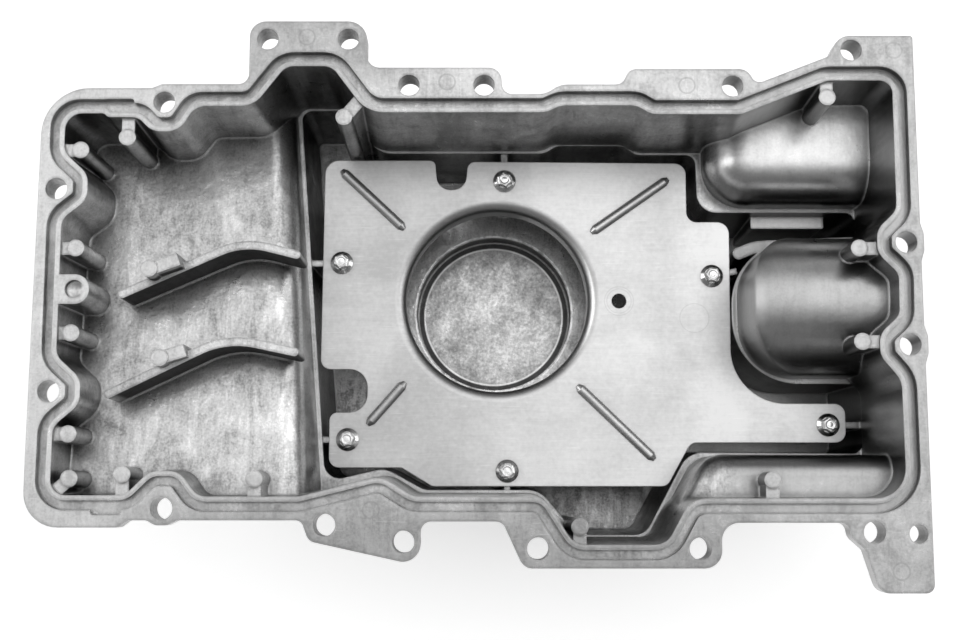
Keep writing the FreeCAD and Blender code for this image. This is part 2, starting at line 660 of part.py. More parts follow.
def ribs():
    """The two tall curved ribs that steer the oil across the left bay."""
    made = []
    for name, (path, top) in RIBS.items():
        floor = bay_floor(min(point[1] for point in path)) + 4
        base = sketch(name + "_plan", rounded_path(ribbon(path, mm("rib_thickness"))), str(floor))
        made.append(raised(name, base, str(floor - top)))
    return made


def tray_bosses():
    """The posts that carry the tray, each tied to the nearest wall by a thin rib."""
    made = []
    seat = "sizes.tray_depth + sizes.tray_thickness"
    length = f"sizes.sump_depth + 2 - ({seat})"
    for name, (x, y) in TRAY_BOLTS.items():
        made.append(round_bar("tray_boss_" + name, x, y, "sizes.tray_boss_radius", seat, length))
        outline = [(a, b, 0) for a, b, _ in ribbon([(x, y, 0), (*TRAY_BOSS_RIBS[name], 0)], mm("tray_rib"))]
        base = sketch(f"tray_rib_{name}_plan", rounded_path(outline), "sizes.sump_depth + 2")
        made.append(raised("tray_rib_" + name, base, length))
    return made


def bay_boss():
    """The tapped boss that stands in from the left wall."""
    x, y = BAY_BOSS
    floor = bay_floor(y) + 2.5
    half = 6.8
    outline = [(LEFT + 9, y - half, 0), (x + half, y - half, half - 0.1), (x + half, y + half, half - 0.1),
               (LEFT + 9, y + half, 0)]
    base = sketch("bay_boss_plan", rounded_path(outline), str(floor))
    return raised("bay_boss", base, str(floor))


def bolt_holes():
    length = f"sizes.bolt_boss_depth + {2 * MARGIN}"
    return [round_bar("bolt_hole_" + name, x, y, "sizes.bolt_hole / 2", str(-MARGIN), length)
            for name, (x, y) in BOLTS.items()]


def tapped_holes():
    """The tapped holes in the flange's lug, in the bay's boss and in the tray bosses."""
    made = []
    length = f"sizes.tapped_depth + {MARGIN}"
    for name, (x, y) in (("lug_hole", LUG_HOLE), ("bay_boss_hole", BAY_BOSS)):
        made.append(round_bar(name, x, y, "sizes.tapped_hole / 2", str(-MARGIN), length))
    bore = "(sizes.tray_bolt_thread + sizes.thread_clearance) / 2"
    for name, (x, y) in TRAY_BOLTS.items():
        made.append(round_bar("tray_boss_hole_" + name, x, y, bore, "sizes.tray_depth",
                              f"sizes.tray_bolt_length + {2 * MARGIN}"))
    return made


def gasket_groove():
    """The groove for the gasket, with two pockets for the gasket's tabs."""
    walls = wall_outline()
    inner = grown(walls, mm("ridge_width"))
    outer = grown(walls, mm("ridge_width") + mm("groove_width"))
    depth = "sizes.groove_depth"
    height = f"sizes.groove_depth + {MARGIN}"
    wide = raised("groove_outer", sketch("groove_outer_edge", rounded_path(outer), depth), height)
    narrow = raised("groove_inner", sketch("groove_inner_edge", rounded_path(inner), depth), height)
    ring = cut("groove_ring", wide, narrow)
    reach = mm("ridge_width") + mm("groove_width")
    rear, front = RAIL_REAR - RAIL_INNER_REAR, RAIL_FRONT + RAIL_INNER_FRONT
    x = BOLTS["bay_rear"][0] - 20.8
    pockets = []
    for name, y in (("tab_pocket_rear", rear - 2 + reach), ("tab_pocket_front", front + 0.6 - reach)):
        outline = [(x - 7, y - 2, 1.5), (x + 7, y - 2, 1.5), (x + 7, y + 2, 1.5), (x - 7, y + 2, 1.5)]
        pockets.append(raised(name, sketch(name + "_plan", rounded_path(outline), depth), height))
    return fused("groove", ring, *pockets)


# Drain plug at the foot of the sump's left wall

DRAIN_Y = 12.0


def drain_seat():
    """Where the drain boss ends: its sealing face lies across X."""
    along = (RIM_LEFT_REAR[1] - DRAIN_Y) / (RIM_LEFT_REAR[1] - RIM_LEFT_FRONT[1])
    wall = RIM_LEFT_REAR[0] + along * (RIM_LEFT_FRONT[0] - RIM_LEFT_REAR[0])
    return wall - mm("wall") - mm("drain_boss_reach")


def lying_bar(name, x, radius, length):
    """A round bar along X at the height of the drain; its sizes are expressions."""
    made = doc.addObject("Part::Cylinder", name)
    made.setExpression("Radius", radius)
    made.setExpression("Height", length)
    made.Placement = FreeCAD.Placement(FreeCAD.Vector(x, DRAIN_Y, 0), FreeCAD.Rotation(ACROSS, 90))
    made.setExpression("Placement.Base.z", "sizes.drain_height")
    return made


def drain_boss():
    return lying_bar("drain_boss", drain_seat(), "sizes.drain_boss_width / 2",
                     "sizes.drain_boss_reach + 3 * sizes.wall")


def drain_hole():
    return lying_bar("drain_bore", drain_seat() - MARGIN, "(sizes.drain_thread + sizes.thread_clearance) / 2",
                     f"sizes.drain_boss_reach + 4 * sizes.wall + {MARGIN}")


def drain_plug():
    """A flanged hexagon plug, turned in from the left."""
    face = drain_seat() - mm("drain_washer_thickness")
    shank = lying_bar("drain_shank", face - 1, "sizes.drain_thread / 2", "sizes.drain_length + 1")
    collar_face = face - mm("drain_collar")
    collar = lying_bar("drain_flange", collar_face, "sizes.drain_flange / 2", "sizes.drain_collar")
    hexagon = doc.addObject("Part::Prism", "drain_hexagon")
    hexagon.Polygon = 6
    hexagon.setExpression("Circumradius", f"sizes.drain_hex / {math.sqrt(3)}")
    hexagon.setExpression("Height", "sizes.drain_head")
    hexagon.Placement = FreeCAD.Placement(
        FreeCAD.Vector(face - mm("drain_head"), DRAIN_Y, 0), FreeCAD.Rotation(ACROSS, 90)
    )
    hexagon.setExpression("Placement.Base.z", "sizes.drain_height")
    made = fused("drain_plug", shank, collar, hexagon)
    made.Label = "drain_plug"
    return made


def drain_washer():
    """The soft sealing ring under the plug."""
    face = drain_seat() - mm("drain_washer_thickness")
    ring = lying_bar("washer_disc", face, "sizes.drain_washer_width / 2", "sizes.drain_washer_thickness")
    bore = lying_bar("washer_bore", face - MARGIN, "sizes.drain_thread / 2 + sizes.washer_clearance",
                     f"sizes.drain_washer_thickness + {2 * MARGIN}")
    made = cut("drain_washer", ring, bore)
    made.Label = "drain_washer"
    return made


# Windage tray

TRAY_OPENING = (9.0, 9.5)
TRAY_HOLE = (70.3, 9.0)
BEADS = [
    ((-68, 74.3), (-39.5, 47.4)), ((94, 70.1), (58.7, 45.3)),
    ((-38.4, -33.8), (-53.7, -51.2)), ((50.8, -35.3), (85.2, -68.5)),
]


def tray_outline():
    """The cut edge of the sheet, clockwise from the left rear corner."""
    return [
        (-78, 81.2, 7), (-22.3, 81.2, 3), (-21, 66, 7), (-7, 66, 7), (-5.5, 80.6, 4), (105, 79.7, 6),
        (105, 49.3, 5), (126.3, 49.3, 6), (125.7, -42.6, 34), (182, -42.6, 5.5), (182, -61.9, 5.5),
        (105, -61.9, 5), (93, -83.4, 5), (-23, -83.4, 2), (-38.3, -74.2, 2), (-74.3, -74.2, 5),
        (-74.3, -47, 4), (-55.5, -47, 10), (-55.5, -25.4, 9), (-79, -25.4, 5),
    ]


def tray_sheet():
    """The flat blank with a deep drawn collar round its opening."""
    body = doc.addObject("PartDesign::Body", "tray_sheet")
    body.Label = "tray_sheet"
    plane = [f for f in body.Origin.OriginFeatures if f.Role == "XY_Plane"][0]
    upright = [f for f in body.Origin.OriginFeatures if f.Role == "XZ_Plane"][0]
    body.Placement.Base = FreeCAD.Vector(0, 0, 0)
    body.setExpression("Placement.Base.z", "sizes.pan_height - sizes.tray_depth - sizes.tray_thickness")

    blank_sketch = body.newObject("Sketcher::SketchObject", "tray_blank_sketch")
    blank_sketch.AttachmentSupport = [(plane, "")]
    blank_sketch.MapMode = "FlatFace"
    blank_sketch.addGeometry(rounded_path(tray_outline()), False)
    x, y = TRAY_OPENING
    sheet_thick = mm("tray_thickness")
    outside = mm("tray_opening") + mm("tray_bend") + sheet_thick
    blank_sketch.addGeometry(Part.Circle(FreeCAD.Vector(x, y, 0), UP, outside), False)
    bolt_radius = (mm("tray_bolt_thread") + mm("tray_hole_clearance")) / 2
    for hole_x, hole_y in TRAY_BOLTS.values():
        blank_sketch.addGeometry(Part.Circle(FreeCAD.Vector(hole_x, hole_y, 0), UP, bolt_radius), False)
    blank_sketch.addGeometry(Part.Circle(FreeCAD.Vector(*TRAY_HOLE, 0), UP, mm("tray_hole") / 2), False)
    blank = body.newObject("PartDesign::Pad", "tray_blank")
    blank.Profile = blank_sketch
    blank.setExpression("Length", "sizes.tray_thickness")

    collar_sketch = body.newObject("Sketcher::SketchObject", "tray_collar_sketch")
    collar_sketch.AttachmentSupport = [(upright, "")]
    collar_sketch.MapMode = "FlatFace"
    collar_sketch.AttachmentOffset = FreeCAD.Placement(FreeCAD.Vector(x, 0, -y), FreeCAD.Rotation())
    bend = mm("tray_bend")
    inner = mm("tray_opening")
    deep = mm("tray_collar_depth")
    quarter = math.sqrt(0.5)

    def at(radius, height):
        return FreeCAD.Vector(radius, height, 0)

    centre = at(outside, -bend)
    large, small = bend + sheet_thick, bend
    collar_sketch.addGeometry([
        Part.LineSegment(at(outside, sheet_thick), at(outside, 0)),
        Part.Arc(at(outside, 0), centre + at(-small * quarter, small * quarter), at(outside - small, -bend)),
        Part.LineSegment(at(outside - small, -bend), at(inner + sheet_thick, sheet_thick - deep)),
        Part.LineSegment(at(inner + sheet_thick, sheet_thick - deep), at(inner, sheet_thick - deep)),
        Part.LineSegment(at(inner, sheet_thick - deep), at(outside - large, -bend)),
        Part.Arc(at(outside - large, -bend), centre + at(-large * quarter, large * quarter),
                 at(outside, sheet_thick)),
    ], False)
    collar = body.newObject("PartDesign::Revolution", "tray_collar")
    collar.Profile = collar_sketch
    collar.ReferenceAxis = (collar_sketch, ["V_Axis"])
    collar.Angle = 360
    return body


def bead_bars(name, start, end, radius):
    """A round bar with tapered ends, lying in the sheet; radius is an expression."""
    a, b = FreeCAD.Vector(*start, 0), FreeCAD.Vector(*end, 0)
    way = b - a
    bar = doc.addObject("Part::Cylinder", name + "_bar")
    bar.setExpression("Radius", radius)
    bar.Height = way.Length
    nose = doc.addObject("Part::Cone", name + "_nose")
    tail = doc.addObject("Part::Cone", name + "_tail")
    for end_piece in (nose, tail):
        end_piece.setExpression("Radius1", radius)
        end_piece.setExpression("Radius2", f"({radius}) / 2")
        end_piece.setExpression("Height", radius)
    for piece, place, direction in ((bar, a, way), (nose, b, way), (tail, a, -way)):
        piece.Placement = FreeCAD.Placement(place, FreeCAD.Rotation(UP, direction))
        piece.setExpression("Placement.Base.z", "sizes.pan_height - sizes.tray_depth - sizes.bead_sink")
    return [bar, nose, tail]


def windage_tray():
    """The sheet steel tray: each bead is a round ridge on top with the matching trough below it."""
    ridges, troughs = [], []
    width = 2 * (mm("bead_radius") - mm("bead_wall"))
    for number, (start, end) in enumerate(BEADS):
        ridges += bead_bars(f"ridge_{number}", start, end, "sizes.bead_radius")
        troughs += bead_bars(f"trough_{number}", start, end, "sizes.bead_radius - sizes.bead_wall")
        plan = [(x, y, 0) for x, y, _ in ribbon([(*start, 0), (*end, 0)], width)]
        mouth = sketch(f"trough_{number}_plan", rounded_path(plan), "sizes.tray_depth + sizes.tray_bend")
        troughs.append(raised(f"trough_{number}_mouth", mouth, "sizes.tray_bend - sizes.bead_sink"))
    under = doc.addObject("Part::Box", "under_the_sheet")
    under.setExpression("Length", "sizes.flange_length")
    under.setExpression("Width", "sizes.flange_width")
    under.setExpression("Height", "sizes.tray_bend")
    under.Placement.Base = FreeCAD.Vector(LEFT, FRONT, 0)
    middle = "sizes.pan_height - sizes.tray_depth - sizes.tray_thickness / 2"
    under.setExpression("Placement.Base.z", f"{middle} - sizes.tray_bend")
    raised_beads = cut("ridges_on_top", fused("ridges", *ridges), under)
    with_ridges = fused("tray_with_ridges", tray_sheet(), raised_beads)
    made = cut("windage_tray", with_ridges, fused("troughs", *troughs))
    made.Refine = True
    made.Label = "windage_tray"
    return made


# Tray bolts: a hexagon head with a flange, turned from bar

TRAY_BOLT_TURNS = {"rear": 10, "left": 50, "right": 24, "arm": 5, "left_front": 38, "front": 17}


def tray_bolt(name, x, y):
    """One bolt, seated on the tray, its hexagon turned as the photo shows it."""
    shank = round_bar(f"tray_bolt_{name}_shank", x, y, "sizes.tray_bolt_thread / 2", "sizes.tray_depth",
                      "sizes.tray_bolt_length")
    collar = doc.addObject("Part::Cone", f"tray_bolt_{name}_collar")
    collar.setExpression("Radius1", "sizes.tray_bolt_flange / 2")
    collar.setExpression("Radius2", "sizes.tray_bolt_hex / 2 + 0.4")
    collar.setExpression("Height", "sizes.tray_bolt_collar")
    head = doc.addObject("Part::Prism", f"tray_bolt_{name}_head")
    head.Polygon = 6
    head.setExpression("Circumradius", f"sizes.tray_bolt_hex / {math.sqrt(3)}")
    head.setExpression("Height", "sizes.tray_bolt_head")
    turn = FreeCAD.Rotation(UP, TRAY_BOLT_TURNS[name])
    for piece in (collar, head):
        piece.Placement = FreeCAD.Placement(FreeCAD.Vector(x, y, 0), turn)
        piece.setExpression("Placement.Base.z", "sizes.pan_height - sizes.tray_depth")
    return fused(f"tray_bolt_{name}", shank, collar, head)


def tray_bolts():
    """Six identical bolts, as one group of separate solids."""
    made = doc.addObject("Part::Compound", "tray_bolts")
    made.Links = [tray_bolt(name, x, y) for name, (x, y) in TRAY_BOLTS.items()]
    made.Label = "tray_bolts"
    return made


pieces = [casting(), windage_tray(), tray_bolts(), drain_plug(), drain_washer()]
doc.recompute()

for thing in doc.Objects:
    if "Invalid" in thing.State or "Error" in thing.State:
        raise RuntimeError(f"{thing.Label} failed: {thing.State}")

os.makedirs("parts", exist_ok=True)
for piece in pieces:
    shape = piece.Shape
    if shape.isNull() or not shape.isValid():
        raise RuntimeError(f"{piece.Label} has no sound shape")
    shape.exportStep(os.path.join("parts", piece.Label + ".step"))
    box = shape.optimalBoundingBox(False)
    print(f"{piece.Label}: {len(shape.Solids)} solids, {shape.Volume / 1000:.1f} cm3, x {box.XMin:.1f} "
          f"{box.XMax:.1f}, y {box.YMin:.1f} {box.YMax:.1f}, z {box.ZMin:.1f} {box.ZMax:.1f}")
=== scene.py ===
# %% [markdown]
# # A die-cast oil pan, finished in Blender
# The pan arrives as an exact solid model. This script gives each piece the finish of the real one:
# cast aluminium with a machined gasket face, a rolled steel tray, and small zinc-plated fasteners.

# %% Load the frame
import math

import bmesh
import bpy
from mathutils import Matrix, Vector


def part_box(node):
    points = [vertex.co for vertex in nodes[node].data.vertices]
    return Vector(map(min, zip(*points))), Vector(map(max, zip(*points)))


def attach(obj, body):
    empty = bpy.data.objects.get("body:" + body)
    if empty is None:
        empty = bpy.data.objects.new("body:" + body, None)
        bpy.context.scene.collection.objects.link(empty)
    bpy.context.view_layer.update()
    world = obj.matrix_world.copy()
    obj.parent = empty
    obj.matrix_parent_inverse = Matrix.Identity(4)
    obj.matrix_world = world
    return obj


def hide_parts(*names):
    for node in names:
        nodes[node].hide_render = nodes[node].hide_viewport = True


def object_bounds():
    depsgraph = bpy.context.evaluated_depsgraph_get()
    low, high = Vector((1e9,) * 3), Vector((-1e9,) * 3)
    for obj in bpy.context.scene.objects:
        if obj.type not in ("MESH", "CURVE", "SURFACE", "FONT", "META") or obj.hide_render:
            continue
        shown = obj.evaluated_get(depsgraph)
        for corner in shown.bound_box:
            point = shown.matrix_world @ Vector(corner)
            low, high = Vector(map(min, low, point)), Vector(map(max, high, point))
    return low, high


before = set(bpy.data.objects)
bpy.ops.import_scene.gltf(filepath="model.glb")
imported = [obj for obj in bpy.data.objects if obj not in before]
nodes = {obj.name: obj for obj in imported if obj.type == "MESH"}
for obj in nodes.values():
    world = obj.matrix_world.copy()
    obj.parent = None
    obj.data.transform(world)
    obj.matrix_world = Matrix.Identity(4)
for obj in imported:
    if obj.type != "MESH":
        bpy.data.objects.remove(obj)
cad_low, cad_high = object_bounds()
MM = 0.001
TOP = cad_high[2]
print("the pan is", [round((b - a) / MM, 1) for a, b in zip(cad_low, cad_high)], "mm")

# %% [markdown]
# ## Node helpers
# A material is a small graph. A few helpers keep each graph short to read: one adds a node and sets
# its inputs, one makes a new material with a Principled shader ready to be fed, and the others are
# the sums and ramps that every finish needs. All colours here are greys, because bare metal is grey.

# %% Node helpers


def feed(tree, socket, value):
    """Links a socket to another socket, or gives it a constant."""
    if isinstance(value, bpy.types.NodeSocket):
        tree.links.new(value, socket)
    else:
        socket.default_value = value


def add(tree, kind, inputs=None, **settings):
    """Adds a node, sets its properties, and sets or links its inputs by name or number."""
    node = tree.nodes.new(kind)
    for name, value in settings.items():
        setattr(node, name, value)
    for name, value in (inputs or {}).items():
        feed(tree, node.inputs[name], value)
    return node


def new_material(name, metallic=1.0):
    """A material with an empty graph, apart from its shader and its output."""
    material = bpy.data.materials.new(name)
    material.use_nodes = True
    tree = material.node_tree
    tree.nodes.clear()
    shader = add(tree, "ShaderNodeBsdfPrincipled", {"Metallic": metallic})
    output = add(tree, "ShaderNodeOutputMaterial")
    tree.links.new(shader.outputs[0], output.inputs["Surface"])
    return material, tree, shader


def grey(tone):
    """A tone from 0 to 1 as a colour."""
    return (tone, tone, tone, 1)


def ramp(tree, value, stops):
    """Turns a value into a grey, through the given (place, tone) stops."""
    node = add(tree, "ShaderNodeValToRGB", {"Fac": value})
    elements = node.color_ramp.elements
    while len(elements) < len(stops):
        elements.new(0.5)
    for element, (place, tone) in zip(elements, stops):
        element.position = place
        element.color = grey(tone)
    return node.outputs["Color"]


def between(tree, value, low, high, first=0.0, last=1.0):
    """Runs from first to last while the value goes from low to high, and stays there beyond."""
    return add(tree, "ShaderNodeMapRange", {
        "Value": value, "From Min": low, "From Max": high, "To Min": first, "To Max": last,
    }).outputs[0]


def sum_of(tree, operation, *values):
    """Works out a sum, such as MULTIPLY or ADD, from sockets and numbers."""
    return add(tree, "ShaderNodeMath", dict(enumerate(values)), operation=operation).outputs[0]


def mix_colour(tree, factor, first, second, blend="MIX"):
    """Goes from the first colour to the second as the factor goes from 0 to 1."""
    node = add(tree, "ShaderNodeMix", data_type="RGBA", blend_type=blend)
    colours = [socket for socket in node.inputs if socket.type == "RGBA"]
    for socket, value in ((node.inputs[0], factor), (colours[0], first), (colours[1], second)):
        feed(tree, socket, value)
    return [socket for socket in node.outputs if socket.type == "RGBA"][0]


def noise(tree, place, scale, detail=4.0, roughness=0.5, distortion=0.0):
    """Clouds about 1 / scale metres wide, with values round 0.5."""
    return add(tree, "ShaderNodeTexNoise", {
        "Vector": place, "Scale": scale, "Detail": detail, "Roughness": roughness, "Distortion": distortion,
    }).outputs[0]


def stretched(tree, place, scale, turn=0.0):
    """Coordinates that are stretched along a direction in plan, for streaks and scratches."""
    return add(tree, "ShaderNodeMapping", {
        "Vector": place, "Scale": scale, "Rotation": (0, 0, math.radians(turn)),
    }).outputs[0]


print("a grey of 0.5 is", grey(0.5))

# %% [markdown]
# ## Effects that several finishes share
# Each of these is a node group: it is built once, and each material that uses it sets its own
# values. A group gives out masks and heights only, and the shader stays in the material.

# %% A way to make a node group


def new_group(name, inputs, outputs):
    """An empty group with the named (kind, default) inputs and the named number outputs."""
    group = bpy.data.node_groups.new(name, "ShaderNodeTree")
    for label, (kind, default) in inputs.items():
        socket = group.interface.new_socket(name=label, in_out="INPUT", socket_type="NodeSocket" + kind)
        if default is not None:
            socket.default_value = default
    for label in outputs:
        group.interface.new_socket(name=label, in_out="OUTPUT", socket_type="NodeSocketFloat")
    return group, add(group, "NodeGroupInput").outputs


def finish_group(group, **values):
    """Links each value to the group's output of that name."""
    output = add(group, "NodeGroupOutput")
    for name, value in values.items():
        group.links.new(value, output.inputs[name.replace("_", " ")])
    return group


def use(tree, group, **values):
    """Places a group in a material, with its own values."""
    return add(tree, "ShaderNodeGroup", {
        name.replace("_", " "): value for name, value in values.items()}, node_tree=group).outputs


print("groups so far:", len(bpy.data.node_groups))

# %% [markdown]
# ## The skin of a die casting
# Molten aluminium chills against the steel die in patches, so the skin is mottled light and dark.
# Streaks show how the metal flowed, and a fine grain lies over it all.

# %% Cast skin


def cast_skin_group():
    """Patches, flow streaks and grain of a chilled casting, as masks that change over the surface."""
    group, given = new_group("Cast skin", {
        "Vector": ("Vector", None), "Patch Scale": ("Float", 45.0), "Grain Scale": ("Float", 900.0),
    }, ("Tone", "Flakes", "Height"))
    place = given["Vector"]
    patches = noise(group, place, given["Patch Scale"], 8.0, 0.68, 0.6)
    streaks = noise(group, stretched(group, place, (6.0, 1.2, 1.2), 14), 24.0, 6.0, 0.72, 1.4)
    grain = noise(group, place, given["Grain Scale"], 3.0, 0.6)
    pits = add(group, "ShaderNodeTexVoronoi", {"Vector": place, "Scale": 380.0}).outputs[0]
    broad = sum_of(group, "MULTIPLY_ADD", streaks, 0.42, sum_of(group, "MULTIPLY", patches, 0.58))
    tone = sum_of(group, "MULTIPLY_ADD", grain, 0.24, sum_of(group, "MULTIPLY", broad, 0.76))
    flakes = sum_of(group, "MULTIPLY_ADD", noise(group, place, 620.0, 5.0, 0.7, 0.2), 0.5,
                    sum_of(group, "MULTIPLY", noise(group, place, 95.0, 6.0, 0.7, 0.7), 0.5))
    height = sum_of(group, "MULTIPLY_ADD", pits, 0.35, sum_of(group, "MULTIPLY", grain, 0.65))
    return finish_group(group, Tone=tone, Flakes=flakes, Height=height)


CAST_SKIN = cast_skin_group()
print("made", CAST_SKIN.name)

# %% [markdown]
# ## Round witness marks
# Ejector pins push a casting out of its die and leave faint circles on it, and a press leaves circles
# on sheet. A ring is where the distance from a centre is near a radius. Rings of one size don't meet,
# so the distance to the nearest centre draws all of them at once.

# %% Round mark


def round_mark_group():
    """A thin ring where the distance from a centre is near the radius."""
    group, given = new_group("Round mark", {
        "Distance": ("Float", 0.0), "Radius": ("Float", 3.7 * MM), "Width": ("Float", 0.45 * MM),
    }, ("Ring",))
    outside = sum_of(group, "ABSOLUTE", sum_of(group, "SUBTRACT", given["Distance"], given["Radius"]))
    share = sum_of(group, "DIVIDE", outside, given["Width"])
    return finish_group(group, Ring=between(group, share, 0.6, 1.0, 1.0, 0.0))


ROUND_MARK = round_mark_group()


def round_marks(tree, place, centres, radius, width):
    """Rings of one size about several centres in plan, in millimetres, as one mask."""
    plan = add(tree, "ShaderNodeVectorMath", {0: place, 1: (1, 1, 0)}, operation="MULTIPLY").outputs[0]
    nearest = None
    for x, y in centres:
        reach = add(tree, "ShaderNodeVectorMath", {0: plan, 1: (x * MM, y * MM, 0)}, operation="DISTANCE")
        reach = reach.outputs["Value"]
        nearest = reach if nearest is None else sum_of(tree, "MINIMUM", nearest, reach)
    return use(tree, ROUND_MARK, Distance=nearest, Radius=radius * MM, Width=width * MM)["Ring"]


print("made", ROUND_MARK.name)

# %% [markdown]
# ## Handling scratches
# Bare metal that is handled and stacked gets fine scratches in all directions. Long thin cells of a
# stretched noise make them, kept only where the noise is highest.

# %% Scratches


def scratches_group():
    """Thin lines in three directions, as a mask."""
    group, given = new_group("Scratches", {"Vector": ("Vector", None), "Scale": ("Float", 60.0)}, ("Lines",))
    lines = None
    for turn, width in ((24, 26.0), (-38, 34.0), (81, 30.0)):
        thin = stretched(group, given["Vector"], (1.0, width, 1.0), turn)
        found = between(group, noise(group, thin, given["Scale"], 2.0, 0.5), 0.70, 0.76)
        lines = found if lines is None else sum_of(group, "MAXIMUM", lines, found)
    return finish_group(group, Lines=lines)


SCRATCHES = scratches_group()
print("made", SCRATCHES.name)

# %% [markdown]
# ## Soft edges and shade
# The solids have sharp edges, and a real casting or pressing has none. The Bevel node bends the
# normal near an edge, so light runs round it. Where the bent normal leaves the true one, a point is
# near an edge, and the finishes paint it bright: a painted highlight, partly wear. Ambient occlusion
# tells how open a point is, so that corners get painted shade.

# %% Soft edges and shade


def soft_edges(tree, radius):
    """The rounded normal, and how near an edge a point is."""
    soft = add(tree, "ShaderNodeBevel", {"Radius": radius}, samples=3).outputs[0]
    true = add(tree, "ShaderNodeNewGeometry").outputs["Normal"]
    alike = add(tree, "ShaderNodeVectorMath", {0: soft, 1: true}, operation="DOT_PRODUCT").outputs["Value"]
    return soft, between(tree, alike, 0.99, 0.74)


def openness(tree, distance):
    """1 in the open, and less where other surfaces stand within the distance."""
    return add(tree, "ShaderNodeAmbientOcclusion", {"Distance": distance}, samples=2).outputs["AO"]


def shade_crevices(tree, base, air, darkest):
    """Darkens a colour where there is little air: painted shade in corners and creases."""
    return mix_colour(tree, 1.0, base, ramp(tree, air, [(0.1, darkest), (0.8, 1.0)]), "MULTIPLY")


def darker(tree, base, share):
    """Multiplies a colour by a number."""
    tone = add(tree, "ShaderNodeCombineColor", {"Red": share, "Green": share, "Blue": share}).outputs[0]
    return mix_colour(tree, 1.0, base, tone, "MULTIPLY")


def facing(tree, axis):
    """How far a face looks along an axis, from -1 to 1."""
    normal = add(tree, "ShaderNodeNewGeometry").outputs["Normal"]
    return add(tree, "ShaderNodeSeparateXYZ", {0: normal}).outputs[axis]


def steepness(tree, flat, wall):
    """1 on faces that look up or down, less on walls: from wall at an upright face to 1 at flat."""
    up = sum_of(tree, "ABSOLUTE", facing(tree, "Z"))
    return between(tree, up, 0.05, flat, wall, 1.0)


def add_bump(tree, shader, height, depth, normal, strength):
    """Feeds the shader's normal with a fine relief over the given normal."""
    bump = add(tree, "ShaderNodeBump", {
        "Strength": strength, "Distance": depth, "Height": height, "Normal": normal,
    })
    tree.links.new(bump.outputs[0], shader.inputs["Normal"])


print("soft edges and shade are ready for", len(nodes), "nodes")

# %% [markdown]
# ## Where the pan is darker or lighter
# The shelves and the dome were smoothed by the flow of metal. The dark and bright bands that light
# makes on them are painted into the colour, as painted shade and painted highlight, and the milled
# face is darker along the front. A box gives the place of each, in millimetres, as (start, end)
# along X, Y and Z. A run along Y then gives the share of the colour that is left from one place to
# another. Only faces that look up are changed, so the outside of the pan keeps its even skin.

# %% Darker and lighter places
FRONT_SHELF = ((85, 192), (-92, -66), (100, 128))
REAR_SHELF = ((105, 190), (55, 95), (90, 125))
DOME_CROWN = ((132, 190), (-12, 20), (100, 142))
WALL_BESIDE_DOME = ((118, 165), (24, 44), (40, 90))
SUMP_FRONT = ((10, 90), (-110, -58), (10, 60))
FRONT_RAIL = ((-170, 150), (-200, -75), (0, 200))
REAR_TAB = ((-150, -10), (85, 200), (0, 200))
ALL_ALONG = (0, 1)
# Painted shade and painted highlight: dark and bright bands on the shelves, the dome, the sump's front and
# the wall beside the dome.
SKIN_SHADES = [
    (FRONT_SHELF, (-89.0, -86.0), (0.45, 0.92)),
    (FRONT_SHELF, (-82.5, -72.5), (1.0, 0.30)),
    (SUMP_FRONT, (-100, -84), (1.0, 0.30)),
    (WALL_BESIDE_DOME, ALL_ALONG, (0.55, 0.55)),
    (DOME_CROWN, ALL_ALONG, (0.82, 0.82)),
    (REAR_SHELF, ALL_ALONG, (1.30, 1.30)),
]
FACE_SHADES = [(FRONT_RAIL, ALL_ALONG, (0.64, 0.64)), (REAR_TAB, ALL_ALONG, (0.74, 0.74))]
SKIN_FADE = 3
FACE_FADE = 30


def region(tree, place, limits, fade=SKIN_FADE):
    """1 inside a box and 0 outside it, with sides that fade over some millimetres."""
    middle = [(start + end) / 2 * MM for start, end in limits]
    half = [(end - start) / 2 * MM for start, end in limits]
    offset = add(tree, "ShaderNodeVectorMath", {0: place, 1: middle}, operation="SUBTRACT").outputs[0]
    offset = add(tree, "ShaderNodeVectorMath", {0: offset}, operation="ABSOLUTE").outputs[0]
    # Sockets 6 to 10 are the vector, then its From Min, From Max, To Min and To Max.
    sides = add(tree, "ShaderNodeMapRange", {
        6: offset, 7: half, 8: [reach - fade * MM for reach in half], 9: (0, 0, 0), 10: (1, 1, 1),
    }, data_type="FLOAT_VECTOR").outputs["Vector"]
    sides = add(tree, "ShaderNodeSeparateXYZ", {0: sides}).outputs
    return sum_of(tree, "MULTIPLY", sum_of(tree, "MULTIPLY", sides["X"], sides["Y"]), sides["Z"])


def shaded(tree, place, shades, fade=SKIN_FADE):
    """A number to multiply a colour by, which is 1 apart from the places in the list."""
    along = add(tree, "ShaderNodeSeparateXYZ", {0: place}).outputs["Y"]
    upward = between(tree, facing(tree, "Z"), 0.12, 0.30)
    share = 1.0
    for limits, (start, end), (first, last) in shades:
        change = first - 1
        if first != last:
            change = between(tree, along, start * MM, end * MM, first - 1, last - 1)
        shade = sum_of(tree, "MULTIPLY", region(tree, place, limits, fade), upward)
        share = sum_of(tree, "MULTIPLY", sum_of(tree, "MULTIPLY_ADD", shade, change, 1.0), share)
    return share


print(len(SKIN_SHADES), "shades on the skin and", len(FACE_SHADES), "on the milled face")

# %% [markdown]
# ## The ribs in the bay
# Two tall ribs steer the oil across the shallow bay. Their front sides are the darkest part of the
# bay: their colour is darkened as painted shade, and their skin is made rough and dull.

# %% Rib sides
RIBS = ((-168, -68), (-52, 48), (90, 138))


def rib_sides(tree, place):
    """1 on the front sides of the ribs, where their colour gets painted shade."""
    return sum_of(tree, "MULTIPLY", region(tree, place, RIBS), between(tree, facing(tree, "Y"), -0.25, -0.7))


print("the ribs lie within", RIBS, "mm")
